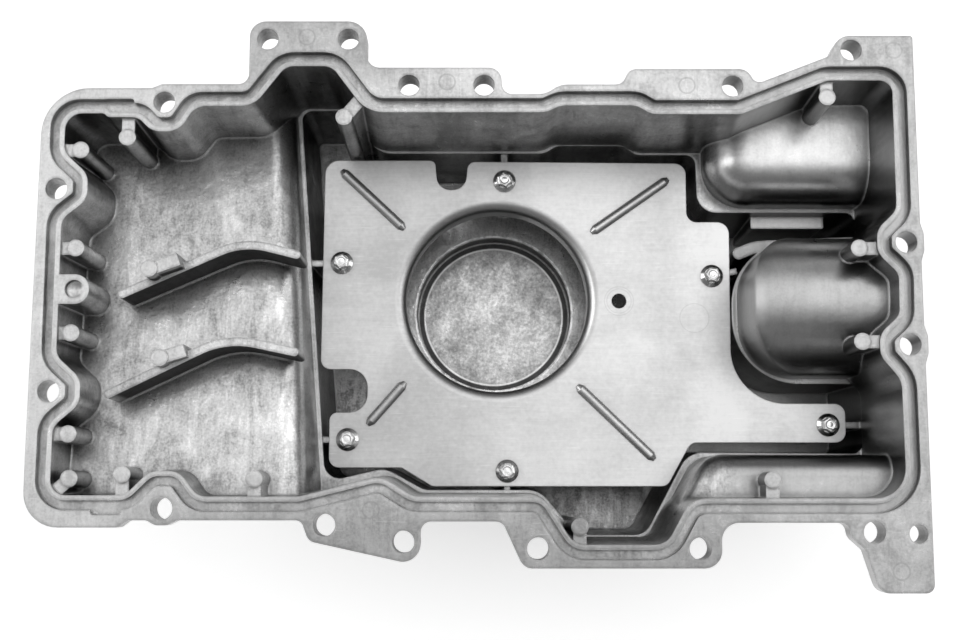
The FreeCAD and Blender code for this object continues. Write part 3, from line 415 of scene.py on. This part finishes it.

# %% [markdown]
# ## The foot of the pick-up well
# The well's wall meets its floor in a small rounded foot. From above it is a dark ring with a bright
# line inside it, painted into the colour as painted shade and a painted highlight, and a broken
# painted highlight line runs round the well's rim, on the floor of the sump.

# %% Well foot
WELL_CENTRE = (8.0, 10.5)
WELL_FLOOR = 14 * MM
SUMP_FLOOR = 20 * MM
# Painted shade and painted highlight: a dark ring and a bright line at the foot, and a broken bright line at
# the rim.
FOOT_SHADE_AND_HIGHLIGHT_RINGS = [(39.7, 1.7, 0.94, 0.05), (37.8, 0.55, 0.9, 0.98)]
RIM_HIGHLIGHT_RING = (42.2, 0.8, 0.9, 0.98)


def well_foot(tree, place, height, base):
    """Paints rings of shade and highlight over a colour. A ring is its radius, width, strength and tone."""
    foot = between(tree, height, WELL_FLOOR, WELL_FLOOR + 1 * MM, 1.0, 0.0)
    off_rim = sum_of(tree, "ABSOLUTE", sum_of(tree, "SUBTRACT", height, SUMP_FLOOR))
    rim = between(tree, off_rim, 0.5 * MM, 1.2 * MM, 1.0, 0.0)
    broken = between(tree, noise(tree, place, 160.0, 4.0, 0.7), 0.40, 0.52)
    rim = sum_of(tree, "MULTIPLY", rim, broken)
    for zone, (radius, width, strength, tone) in [(foot, ring) for ring in FOOT_SHADE_AND_HIGHLIGHT_RINGS] + [(rim, RIM_HIGHLIGHT_RING)]:
        line = round_marks(tree, place, [WELL_CENTRE], radius, width)
        mask = sum_of(tree, "MULTIPLY", sum_of(tree, "MULTIPLY", line, zone), strength)
        base = mix_colour(tree, mask, base, grey(tone))
    return base


print("the well is", round((SUMP_FLOOR - WELL_FLOOR) / MM), "mm deeper than the sump")

# %% [markdown]
# ## The cast skin's colour
# The skin is mottled, calmer over the smoothed right end, and flaky on the floor of the well, where
# the die was hottest. Walls inside the pan are painted darker than the floors, as painted shade,
# more so where they are sheltered and in the bay, and they carry fine upright drag marks from the
# die. The outside is more even and lighter.

# %% Skin colour
SMOOTH_END = 112 * MM
BAY_END = (-90 * MM, -75 * MM)
SHELTER_REACH = 60 * MM


def skin_colour(tree, axes, skin, smoother):
    """Mottled grey, with flakes deep in the well."""
    tone = ramp(tree, skin["Tone"], [(0.41, 0.32), (0.48, 0.52), (0.54, 0.64), (0.61, 0.78)])
    tone = mix_colour(tree, smoother, tone, grey(0.47))
    flakes = ramp(tree, skin["Flakes"], [(0.40, 0.26), (0.50, 0.45), (0.60, 0.74)])
    deep = between(tree, axes["Z"], WELL_FLOOR, WELL_FLOOR + 2 * MM, 0.8, 0.0)
    return mix_colour(tree, deep, tone, flakes)


def shade_walls(tree, place, axes, base):
    """Painted shade on the walls inside, lighter and more even walls outside, both with upright drag marks.
    """
    shelter = openness(tree, SHELTER_REACH)
    outside = sum_of(tree, "MULTIPLY", between(tree, shelter, 0.88, 0.98, 0.0, 0.45),
                     sum_of(tree, "SUBTRACT", 1.0, steepness(tree, 0.55, 0.0)))
    base = mix_colour(tree, outside, base, grey(0.54))
    # Painted shade: walls are darkened by how sheltered and how upright they are, most in the bay.
    darkest = between(tree, axes["X"], *BAY_END, 0.36, 0.22)
    walls = between(tree, shelter, 0.55, 0.95, darkest, 0.80)
    steep = steepness(tree, 0.55, walls)
    drag = noise(tree, stretched(tree, place, (1.0, 1.0, 0.07)), 330.0, 5.0, 0.65)
    dragged = between(tree, drag, 0.35, 0.65, -0.07, 0.07)
    share = sum_of(tree, "MULTIPLY_ADD", sum_of(tree, "SUBTRACT", 1.0, steep), dragged, steep)
    return darker(tree, base, share)


print("the smoothed end starts at x =", round(SMOOTH_END / MM), "mm")

# %% [markdown]
# ## The milled face's colour
# The flange was milled flat after casting, so it is lighter than the skin and has fine scratches. It
# gets darker towards the right end. Six ejector pins left faint circles on it.

# %% Milled face
EJECTOR_MARKS = [(-80.2, 123.9), (-14.8, 102.3), (96.6, 100.6), (193.25, 117.5), (-48.2, -94.8),
                 (187.75, -121.9)]
EJECTOR_RADIUS = 3.7


def face_colour(tree, place, axes, skin):
    """Light grey with scratches and ejector marks."""
    face = ramp(tree, skin["Tone"], [(0.42, 0.50), (0.50, 0.62), (0.58, 0.70)])
    along = between(tree, axes["X"], -0.20, 0.20, 1.05, 0.70)
    face = darker(tree, face, sum_of(tree, "MULTIPLY", along, shaded(tree, place, FACE_SHADES, FACE_FADE)))
    lines = use(tree, SCRATCHES, Vector=place, Scale=80.0)["Lines"]
    face = mix_colour(tree, sum_of(tree, "MULTIPLY", lines, 0.3), face, grey(0.85))
    marks = round_marks(tree, place, EJECTOR_MARKS, EJECTOR_RADIUS, 0.5)
    return mix_colour(tree, sum_of(tree, "MULTIPLY", marks, 0.5), face, grey(0.3))


print(len(EJECTOR_MARKS), "ejector marks")

# %% [markdown]
# ## Cast aluminium
# One material holds skin and milled face, and the height of a point decides which of them shows. In
# the gasket groove only the walls are dark, with their painted shade. Corners get painted shade, more
# widely near the bottom of the pan. Edges get a painted highlight, partly wear, and the feet of the
# walls a bright line that is a painted highlight. The rounded end of the dome has a much larger
# radius than the rest. The smoothed right end is glossier, with a weaker grain, and the rib sides are
# dull and darkened with painted shade.

# %% Cast aluminium
MILLED = TOP - 0.05 * MM
GROOVE = (TOP - 6 * MM, TOP - 4 * MM)
DOME_NOSE = ((120, 158), (-35, 40), (84, 136))
EDGE_ROUND = 1.7 * MM
NOSE_ROUND = 10 * MM
POLISHED = 0.28


def cast_bump(tree, shader, place, skin, unmilled, polish, soft):
    """Broad waves under a fine grain, both weaker where the skin is polished."""
    calm = sum_of(tree, "MULTIPLY_ADD", polish, -0.7, unmilled)
    waves = sum_of(tree, "MULTIPLY", noise(tree, place, 75.0, 3.0), calm)
    wavy = add(tree, "ShaderNodeBump", {
        "Strength": 0.5, "Distance": 0.9 * MM, "Height": waves, "Normal": soft,
    })
    grain = sum_of(tree, "MULTIPLY", skin["Height"], between(tree, polish, 0.0, 1.0, 1.0, 0.4))
    add_bump(tree, shader, grain, 0.22 * MM, wavy.outputs[0], 0.32)


def cast_aluminium():
    """The material of the whole pan."""
    material, tree, shader = new_material("cast_aluminium")
    place = add(tree, "ShaderNodeTexCoord").outputs["Object"]
    axes = add(tree, "ShaderNodeSeparateXYZ", {0: place}).outputs
    skin = use(tree, CAST_SKIN, Vector=place)
    milled = sum_of(tree, "GREATER_THAN", axes["Z"], MILLED)
    unmilled = sum_of(tree, "SUBTRACT", 1.0, milled)
    smoother = between(tree, axes["X"], SMOOTH_END, SMOOTH_END + 8 * MM, 0.0, 0.75)
    polish = sum_of(tree, "MULTIPLY", smoother, unmilled)
    ribs = rib_sides(tree, place)

    base = shade_walls(tree, place, axes, skin_colour(tree, axes, skin, smoother))
    # Painted shade: the front sides of the ribs keep only a quarter of their colour.
    rib_side_shade = between(tree, ribs, 0.0, 1.0, 1.0, 0.25)
    # The SKIN_SHADES places get their painted shade and painted highlight here, and the rib sides their
    # painted shade.
    base = darker(tree, base, sum_of(tree, "MULTIPLY", shaded(tree, place, SKIN_SHADES), rib_side_shade))
    base = well_foot(tree, place, axes["Z"], base)
    face = face_colour(tree, place, axes, skin)
    base = mix_colour(tree, milled, base, face)

    rounding = sum_of(tree, "MULTIPLY_ADD", region(tree, place, DOME_NOSE), NOSE_ROUND, EDGE_ROUND)
    soft, edge = soft_edges(tree, rounding)
    air = openness(tree, between(tree, axes["Z"], 0.045, 0.075, 34 * MM, 9 * MM))
    # Painted shade in corners and creases.
    with_crevice_shade = shade_crevices(tree, base, air, 0.30)
    groove = mix_colour(tree, steepness(tree, 0.9, 0.0), base, face)
    base = mix_colour(tree, between(tree, axes["Z"], *GROOVE), with_crevice_shade, groove)
    # Painted highlight along the edges, partly wear.
    base = mix_colour(tree, sum_of(tree, "MULTIPLY", edge, 0.55), base, grey(0.86))
    # Painted highlight: a bright line where walls meet floors, also less metallic.
    foot = sum_of(tree, "MULTIPLY", edge, between(tree, air, 0.85, 0.55))
    base = mix_colour(tree, foot, base, grey(0.95))
    tree.links.new(base, shader.inputs["Base Color"])

    metal = sum_of(tree, "MULTIPLY", between(tree, foot, 0.0, 1.0, 1.0, 0.35),
                   between(tree, ribs, 0.0, 1.0, 1.0, 0.15))
    tree.links.new(metal, shader.inputs["Metallic"])
    rough = between(tree, skin["Tone"], 0.42, 0.60, 0.42, 0.25)
    rough = sum_of(tree, "MULTIPLY_ADD", polish, sum_of(tree, "SUBTRACT", POLISHED, rough), rough)
    tree.links.new(sum_of(tree, "MAXIMUM", ribs, rough), shader.inputs["Roughness"])
    cast_bump(tree, shader, place, skin, unmilled, polish, soft)
    return material


CAST = cast_aluminium()
print("the pan's material has", len(CAST.node_tree.nodes), "nodes")

# %% [markdown]
# ## Rolled steel
# Cold rolled sheet is smooth and bright. Its grain runs along the rolling direction, it is clouded
# where oil dried on it, and it has fine scratches. The press left a ring round the small hole and a
# faint circle beside it. The sheet is painted darker at the left and lighter at the right, as a
# painted reflection. The drawn edges that look left are painted lighter, as painted light of the left
# lamp, and steep faces get painted shade. Edges get a painted highlight, partly wear, and corners
# painted shade.

# %% Rolled steel
HOLE_CENTRE = (108.0, 0.4)
PRESS_CENTRE = (70.3, 9.0)
PRESS_RINGS = (7.3, 6.1)


def rolled_steel():
    """The material of the windage tray."""
    material, tree, shader = new_material("tray_steel")
    place = add(tree, "ShaderNodeTexCoord").outputs["Object"]
    axes = add(tree, "ShaderNodeSeparateXYZ", {0: place}).outputs
    grain = noise(tree, stretched(tree, place, (1.0, 14.0, 1.0)), 70.0, 7.0, 0.6)
    clouds = noise(tree, place, 15.0, 6.0, 0.6, 0.4)
    specks = noise(tree, place, 420.0, 3.0, 0.7)
    tone = sum_of(tree, "MULTIPLY_ADD", grain, 0.16, sum_of(tree, "MULTIPLY", clouds, 0.60))
    tone = sum_of(tree, "MULTIPLY_ADD", specks, 0.24, tone)
    # Painted reflection: the sheet is painted darker at the left and lighter at the right.
    tone = sum_of(tree, "ADD", tone, between(tree, axes["X"], -0.08, 0.08, -0.09, 0.07))
    base = ramp(tree, tone, [(0.34, 0.47), (0.62, 0.68)])
    # Painted shade on steep faces, and painted light on faces that look left, as if from the left lamp.
    painted_left_light = between(tree, facing(tree, "X"), -0.15, -0.45, 0.0, 1.35)
    base = darker(tree, base, sum_of(tree, "MAXIMUM", steepness(tree, 0.6, 0.35), painted_left_light))
    lines = use(tree, SCRATCHES, Vector=place)["Lines"]
    base = mix_colour(tree, sum_of(tree, "MULTIPLY", lines, 0.25), base, grey(0.9))
    outer, inner = PRESS_RINGS
    marks = sum_of(tree, "MAXIMUM", round_marks(tree, place, [HOLE_CENTRE, PRESS_CENTRE], outer, 0.3),
                   round_marks(tree, place, [PRESS_CENTRE], inner, 0.3))
    base = mix_colour(tree, sum_of(tree, "MULTIPLY", marks, 0.22), base, grey(0.3))
    soft, edge = soft_edges(tree, 0.6 * MM)
    # Painted highlight along the edges, partly wear.
    base = mix_colour(tree, sum_of(tree, "MULTIPLY", edge, 0.5), base, grey(0.92))
    # Painted shade in corners.
    base = shade_crevices(tree, base, openness(tree, 5 * MM), 0.45)
    tree.links.new(base, shader.inputs["Base Color"])
    tree.links.new(between(tree, tone, 0.3, 0.7, 0.42, 0.34), shader.inputs["Roughness"])
    add_bump(tree, shader, grain, 0.04 * MM, soft, 0.12)
    return material


TRAY = rolled_steel()
print("made", TRAY.name, "with rings of", PRESS_RINGS, "mm")

# %% [markdown]
# ## Zinc plate and soft aluminium
# The zinc on the bolts is bright and smooth, with a slight cloudiness. Its edges get a painted
# highlight, partly wear, and its corners painted shade. The same graph with other values makes the
# soft washer.

# %% Zinc and the washer


def plated(name, dark, bright, roughness):
    """A bright cloudy metal that goes from a dark to a bright tone."""
    material, tree, shader = new_material(name)
    place = add(tree, "ShaderNodeTexCoord").outputs["Object"]
    clouds = noise(tree, place, 320.0, 5.0)
    base = ramp(tree, clouds, [(0.3, dark), (0.7, bright)])
    lines = use(tree, SCRATCHES, Vector=place, Scale=260.0)["Lines"]
    base = mix_colour(tree, sum_of(tree, "MULTIPLY", lines, 0.3), base, grey(0.95))
    soft, edge = soft_edges(tree, 0.25 * MM)
    # Painted highlight along the edges, partly wear.
    base = mix_colour(tree, sum_of(tree, "MULTIPLY", edge, 0.6), base, grey(0.97))
    # Painted shade in corners.
    base = shade_crevices(tree, base, openness(tree, 1.5 * MM), 0.25)
    tree.links.new(base, shader.inputs["Base Color"])
    tree.links.new(between(tree, clouds, 0.3, 0.7, roughness + 0.06, roughness), shader.inputs["Roughness"])
    tree.links.new(soft, shader.inputs["Normal"])
    return material


ZINC = plated("zinc_plated_steel", 0.62, 0.84, 0.14)
WASHER = plated("washer_aluminium", 0.66, 0.80, 0.32)
FINISHES = {"pan_casting": CAST, "windage_tray": TRAY, "drain_washer": WASHER}
for name, material in FINISHES.items():
    mesh = nodes[name].data
    mesh.materials.clear()
    mesh.materials.append(material)
print("finished", ", ".join(FINISHES))

# %% [markdown]
# ## Bolts with a flanged head
# The tray bolts and the drain plug are turned from bar: a round flange, a hexagon with its corners
# turned off, a dished top and a shank. The solids have plain hexagons, so each bolt is modelled anew
# in the same place. Round parts are a profile that is spun about the bolt's axis, and the hexagon is
# a six-sided cone that is cut by a bevel round its top.

# %% Bolt shapes
ROUND_STEPS = 40
WELD = 0.001 * MM


def spun(bm, profile):
    """Spins a profile of (radius, height) points about the Z axis into a closed shape."""
    verts = [bm.verts.new((radius, 0, height)) for radius, height in profile]
    edges = [bm.edges.new(pair) for pair in zip(verts, verts[1:])]
    bmesh.ops.spin(bm, geom=verts + edges, axis=(0, 0, 1), cent=(0, 0, 0), angle=math.tau,
                   steps=ROUND_STEPS, use_merge=True, use_duplicate=False)
    bmesh.ops.remove_doubles(bm, verts=bm.verts, dist=WELD)


def flanged_bolt(flange, collar, hexagon, head, shank, length):
    """A bolt that points up from its seat at the origin, as a bmesh. Sizes are in metres."""
    bm = bmesh.new()
    rim = 0.28 * collar
    spun(bm, [(0, 0), (flange / 2, 0), (flange / 2, rim), (flange / 2 - rim, 1.8 * rim),
              (hexagon / 2 + 0.4 * MM, collar), (0, collar)])
    corner = hexagon / math.sqrt(3)
    middle = Matrix.Translation((0, 0, (head + collar / 2) / 2 - 0.04 * head))
    prism = bmesh.ops.create_cone(bm, cap_ends=True, cap_tris=False, segments=6, radius1=corner,
                                  radius2=corner, depth=head - collar / 2, matrix=middle)
    top_edges = {edge for vert in prism["verts"] for edge in vert.link_edges
                 if all(v.co.z > head * 0.9 for v in edge.verts)}
    bmesh.ops.bevel(bm, geom=list(top_edges), offset=0.09 * hexagon, segments=2, profile=0.5, material=-1,
                    affect="EDGES")
    crown = 0.40 * hexagon
    spun(bm, [(0, 0.5 * head), (crown, 0.5 * head), (crown, 0.985 * head), (0.86 * crown, head),
              (0.74 * crown, 0.985 * head), (0.66 * crown, 0.93 * head), (0.5 * crown, 0.93 * head),
              (0.3 * crown, 0.965 * head), (0, 0.98 * head)])
    spun(bm, [(0, -length), (shank / 2 - 0.4 * MM, -length), (shank / 2, 0.6 * MM - length),
              (shank / 2, 0.1 * MM), (0, 0.1 * MM)])
    bmesh.ops.recalc_face_normals(bm, faces=bm.faces)
    return bm


def place_bolts(name, bolt, places, material, node):
    """Copies a bolt to each place, and hides the node whose place the result takes."""
    pattern = bpy.data.meshes.new(name + "_pattern")
    bolt.to_mesh(pattern)
    bolt.free()
    joined = bmesh.new()
    for place in places:
        copy = pattern.copy()
        copy.transform(place)
        joined.from_mesh(copy)
    mesh = bpy.data.meshes.new(name)
    joined.to_mesh(mesh)
    joined.free()
    mesh.materials.append(material)
    piece = bpy.data.objects.new(name, mesh)
    bpy.context.scene.collection.objects.link(piece)
    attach(piece, "root")
    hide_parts(node)
    print(name, "has", len(mesh.polygons), "faces in", len(places), "places")


print("a round part has", ROUND_STEPS, "sides")

# %% [markdown]
# ## Tray bolts
# Six bolts hold the tray to bosses of the casting. No fitter leaves all hexagons in line, so each one
# is turned by the angle that the photo shows. They are seated on the tray's upper face, which is found
# from the solid bolts' box.

# %% Tray bolts
TRAY_HEAD = 5 * MM
TRAY_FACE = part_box("tray_bolts")[1][2] - TRAY_HEAD
TRAY_BOLTS = [(12.9, 70.4, 10), (-69.1, 28.4, 50), (117.1, 21.7, 24), (173.3, -53.2, 5), (-65.2, -60.4, 38),
              (13.9, -76.0, 17)]
tray_bolt = flanged_bolt(flange=11.4 * MM, collar=1.9 * MM, hexagon=7 * MM, head=TRAY_HEAD, shank=5 * MM,
                         length=14 * MM)
place_bolts("flanged_tray_bolts", tray_bolt, [
    Matrix.Translation((x * MM, y * MM, TRAY_FACE)) @ Matrix.Rotation(math.radians(turn), 4, "Z")
    for x, y, turn in TRAY_BOLTS], ZINC, "tray_bolts")

# %% [markdown]
# ## Drain plug
# The plug is a larger bolt of the same kind that lies on its side, with its head out of the left wall
# of the sump and its flange against the soft washer.

# %% Drain plug
PLUG_HEAD = 9 * MM
plug_low, plug_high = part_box("drain_plug")
plug_middle = [(a + b) / 2 for a, b in zip(plug_low, plug_high)]
drain_plug = flanged_bolt(flange=24 * MM, collar=3 * MM, hexagon=17 * MM, head=PLUG_HEAD, shank=14 * MM,
                          length=12 * MM)
place_bolts("flanged_drain_plug", drain_plug, [
    Matrix.Translation((plug_low[0] + PLUG_HEAD, plug_middle[1], plug_middle[2]))
    @ Matrix.Rotation(math.radians(-90), 4, "Y")], ZINC, "drain_plug")

# %% [markdown]
# ## The blind hole in the bay
# The hole in the boss beside the left wall is shallow: a little under its mouth it ends in the cone
# that a drill leaves. The solid's hole is deeper, so a short floor is spun to fill it. Its profile is
# in millimetres from the flange's face, and a hair wider than the hole, so that no gap shows.

# %% Bay boss floor
BAY_BOSS = (-184.55, 5.0)
DRILL_END = [(0, -4.6), (2.15, -4.2), (4.3, -3.4), (4.3, -6), (0, -6)]
blind_end = bmesh.new()
spun(blind_end, [(radius * MM, height * MM) for radius, height in DRILL_END])
bmesh.ops.recalc_face_normals(blind_end, faces=blind_end.faces)
boss_floor_mesh = bpy.data.meshes.new("bay_boss_floor")
blind_end.to_mesh(boss_floor_mesh)
blind_end.free()
boss_floor_mesh.transform(Matrix.Translation((BAY_BOSS[0] * MM, BAY_BOSS[1] * MM, TOP)))
boss_floor_mesh.materials.append(CAST)
boss_floor = bpy.data.objects.new("bay_boss_floor", boss_floor_mesh)
bpy.context.scene.collection.objects.link(boss_floor)
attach(boss_floor, "root")
print("the blind hole's floor has", len(boss_floor_mesh.polygons), "faces")

# %% [markdown]
# ## Floor
# The pan stands on a wide pale floor that takes its shadow. The floor is lifted to white only for
# camera, mirror and glass rays, so it throws no more light on the pan.

# %% Floor
FLOOR_SIZE = 60.0
FLOOR_LIFT = 0.55


def seen_rays(tree):
    """1 for the rays that show a surface to the camera, straight or by way of metal or glass."""
    rays = add(tree, "ShaderNodeLightPath").outputs
    seen = sum_of(tree, "MAXIMUM", rays["Is Camera Ray"], rays["Is Glossy Ray"])
    return sum_of(tree, "MAXIMUM", seen, rays["Is Transmission Ray"])


def stage_floor():
    """A wide pale floor that the pan stands on."""
    bm = bmesh.new()
    bmesh.ops.create_grid(bm, x_segments=1, y_segments=1, size=FLOOR_SIZE)
    mesh = bpy.data.meshes.new("floor")
    bm.to_mesh(mesh)
    bm.free()
    floor = bpy.data.objects.new("floor", mesh)
    bpy.context.scene.collection.objects.link(floor)
    material, tree, shader = new_material("pale_floor", metallic=0.0)
    shader.inputs["Base Color"].default_value = grey(0.86)
    shader.inputs["Roughness"].default_value = 0.9
    shader.inputs["Emission Color"].default_value = grey(1)
    tree.links.new(sum_of(tree, "MULTIPLY", seen_rays(tree), FLOOR_LIFT), shader.inputs["Emission Strength"])
    mesh.materials.append(material)


stage_floor()
print("the floor is", 2 * FLOOR_SIZE, "m wide")

# %% [markdown]
# ## Light
# Metal shows what is round it more than its own colour, so the light is a broad bright patch overhead,
# towards the rear, that fades to a dark horizon: faces that look up are bright, and walls are dark.
# Camera, mirror and glass rays see a pale band above the horizon, so the floor has no visible end.
# Three soft lamps add the gleam on the edges.

# %% Light
LIGHT_FROM = Vector((0.10, 0.30, 1.0)).normalized()
SKY_STOPS = [(0.0, 0.15), (0.35, 0.15), (0.62, 0.20), (0.80, 0.50), (0.93, 1.0)]
SKY_STRENGTH = 1.12
BACKDROP_FADE = (0.20, 0.42)


def softbox(name, place, target, size, power):
    """A large square lamp that points at target."""
    lamp = bpy.data.lights.new(name, "AREA")
    lamp.shape = "RECTANGLE"
    lamp.size, lamp.size_y = size
    lamp.energy = power
    made = bpy.data.objects.new(name, lamp)
    made.location = place
    made.rotation_euler = (Vector(target) - Vector(place)).to_track_quat("-Z", "Y").to_euler()
    bpy.context.scene.collection.objects.link(made)


world = bpy.data.worlds.new("studio")
bpy.context.scene.world = world
world.use_nodes = True
sky = world.node_tree
sky.nodes.clear()
towards = add(sky, "ShaderNodeTexCoord").outputs["Generated"]
nearness = add(sky, "ShaderNodeVectorMath", {0: towards, 1: LIGHT_FROM}, operation="DOT_PRODUCT")
glow = ramp(sky, nearness.outputs["Value"], SKY_STOPS)
upward = add(sky, "ShaderNodeSeparateXYZ", {0: towards}).outputs["Z"]
backdrop = sum_of(sky, "MULTIPLY", seen_rays(sky), between(sky, upward, *BACKDROP_FADE, 1.0, 0.0))
seen_sky = mix_colour(sky, backdrop, glow, grey(1 / SKY_STRENGTH))
background = add(sky, "ShaderNodeBackground", {"Color": seen_sky, "Strength": SKY_STRENGTH})
sky.links.new(background.outputs[0], add(sky, "ShaderNodeOutputWorld").inputs["Surface"])
softbox("overhead", (0.45, 0.65, 2.0), (0, 0, 0.1), (1.4, 1.4), 3.0)
softbox("left", (-1.6, 0.35, 1.25), (0, 0, 0.1), (1.2, 1.2), 9.0)
softbox("right", (1.6, 0.25, 1.2), (0, 0, 0.1), (1.2, 1.2), 7.0)
print("lamps:", ", ".join(lamp.name for lamp in bpy.data.lights))

# %% [markdown]
# ## Camera
# The camera looks down into the pan from 640 mm over the flange, a little from the front. Its tilt and
# lens were found from the shape of the flange and from how far the walls lean outwards in the view.

# %% Camera
LENS = 53
SENSOR = 36
TILT = math.radians(7.46)
EYE = (0.5 * MM, -92.6 * MM, TOP + 636.6 * MM)
eye = bpy.data.cameras.new("camera")
eye.lens = LENS
eye.sensor_width = SENSOR
camera = bpy.data.objects.new("camera", eye)
camera.location = EYE
camera.rotation_euler = (TILT, 0, 0)
bpy.context.scene.collection.objects.link(camera)
bpy.context.scene.camera = camera
bpy.context.scene.view_settings.view_transform = "Standard"
print("the camera is", round(EYE[2] / MM), "mm above the foot")
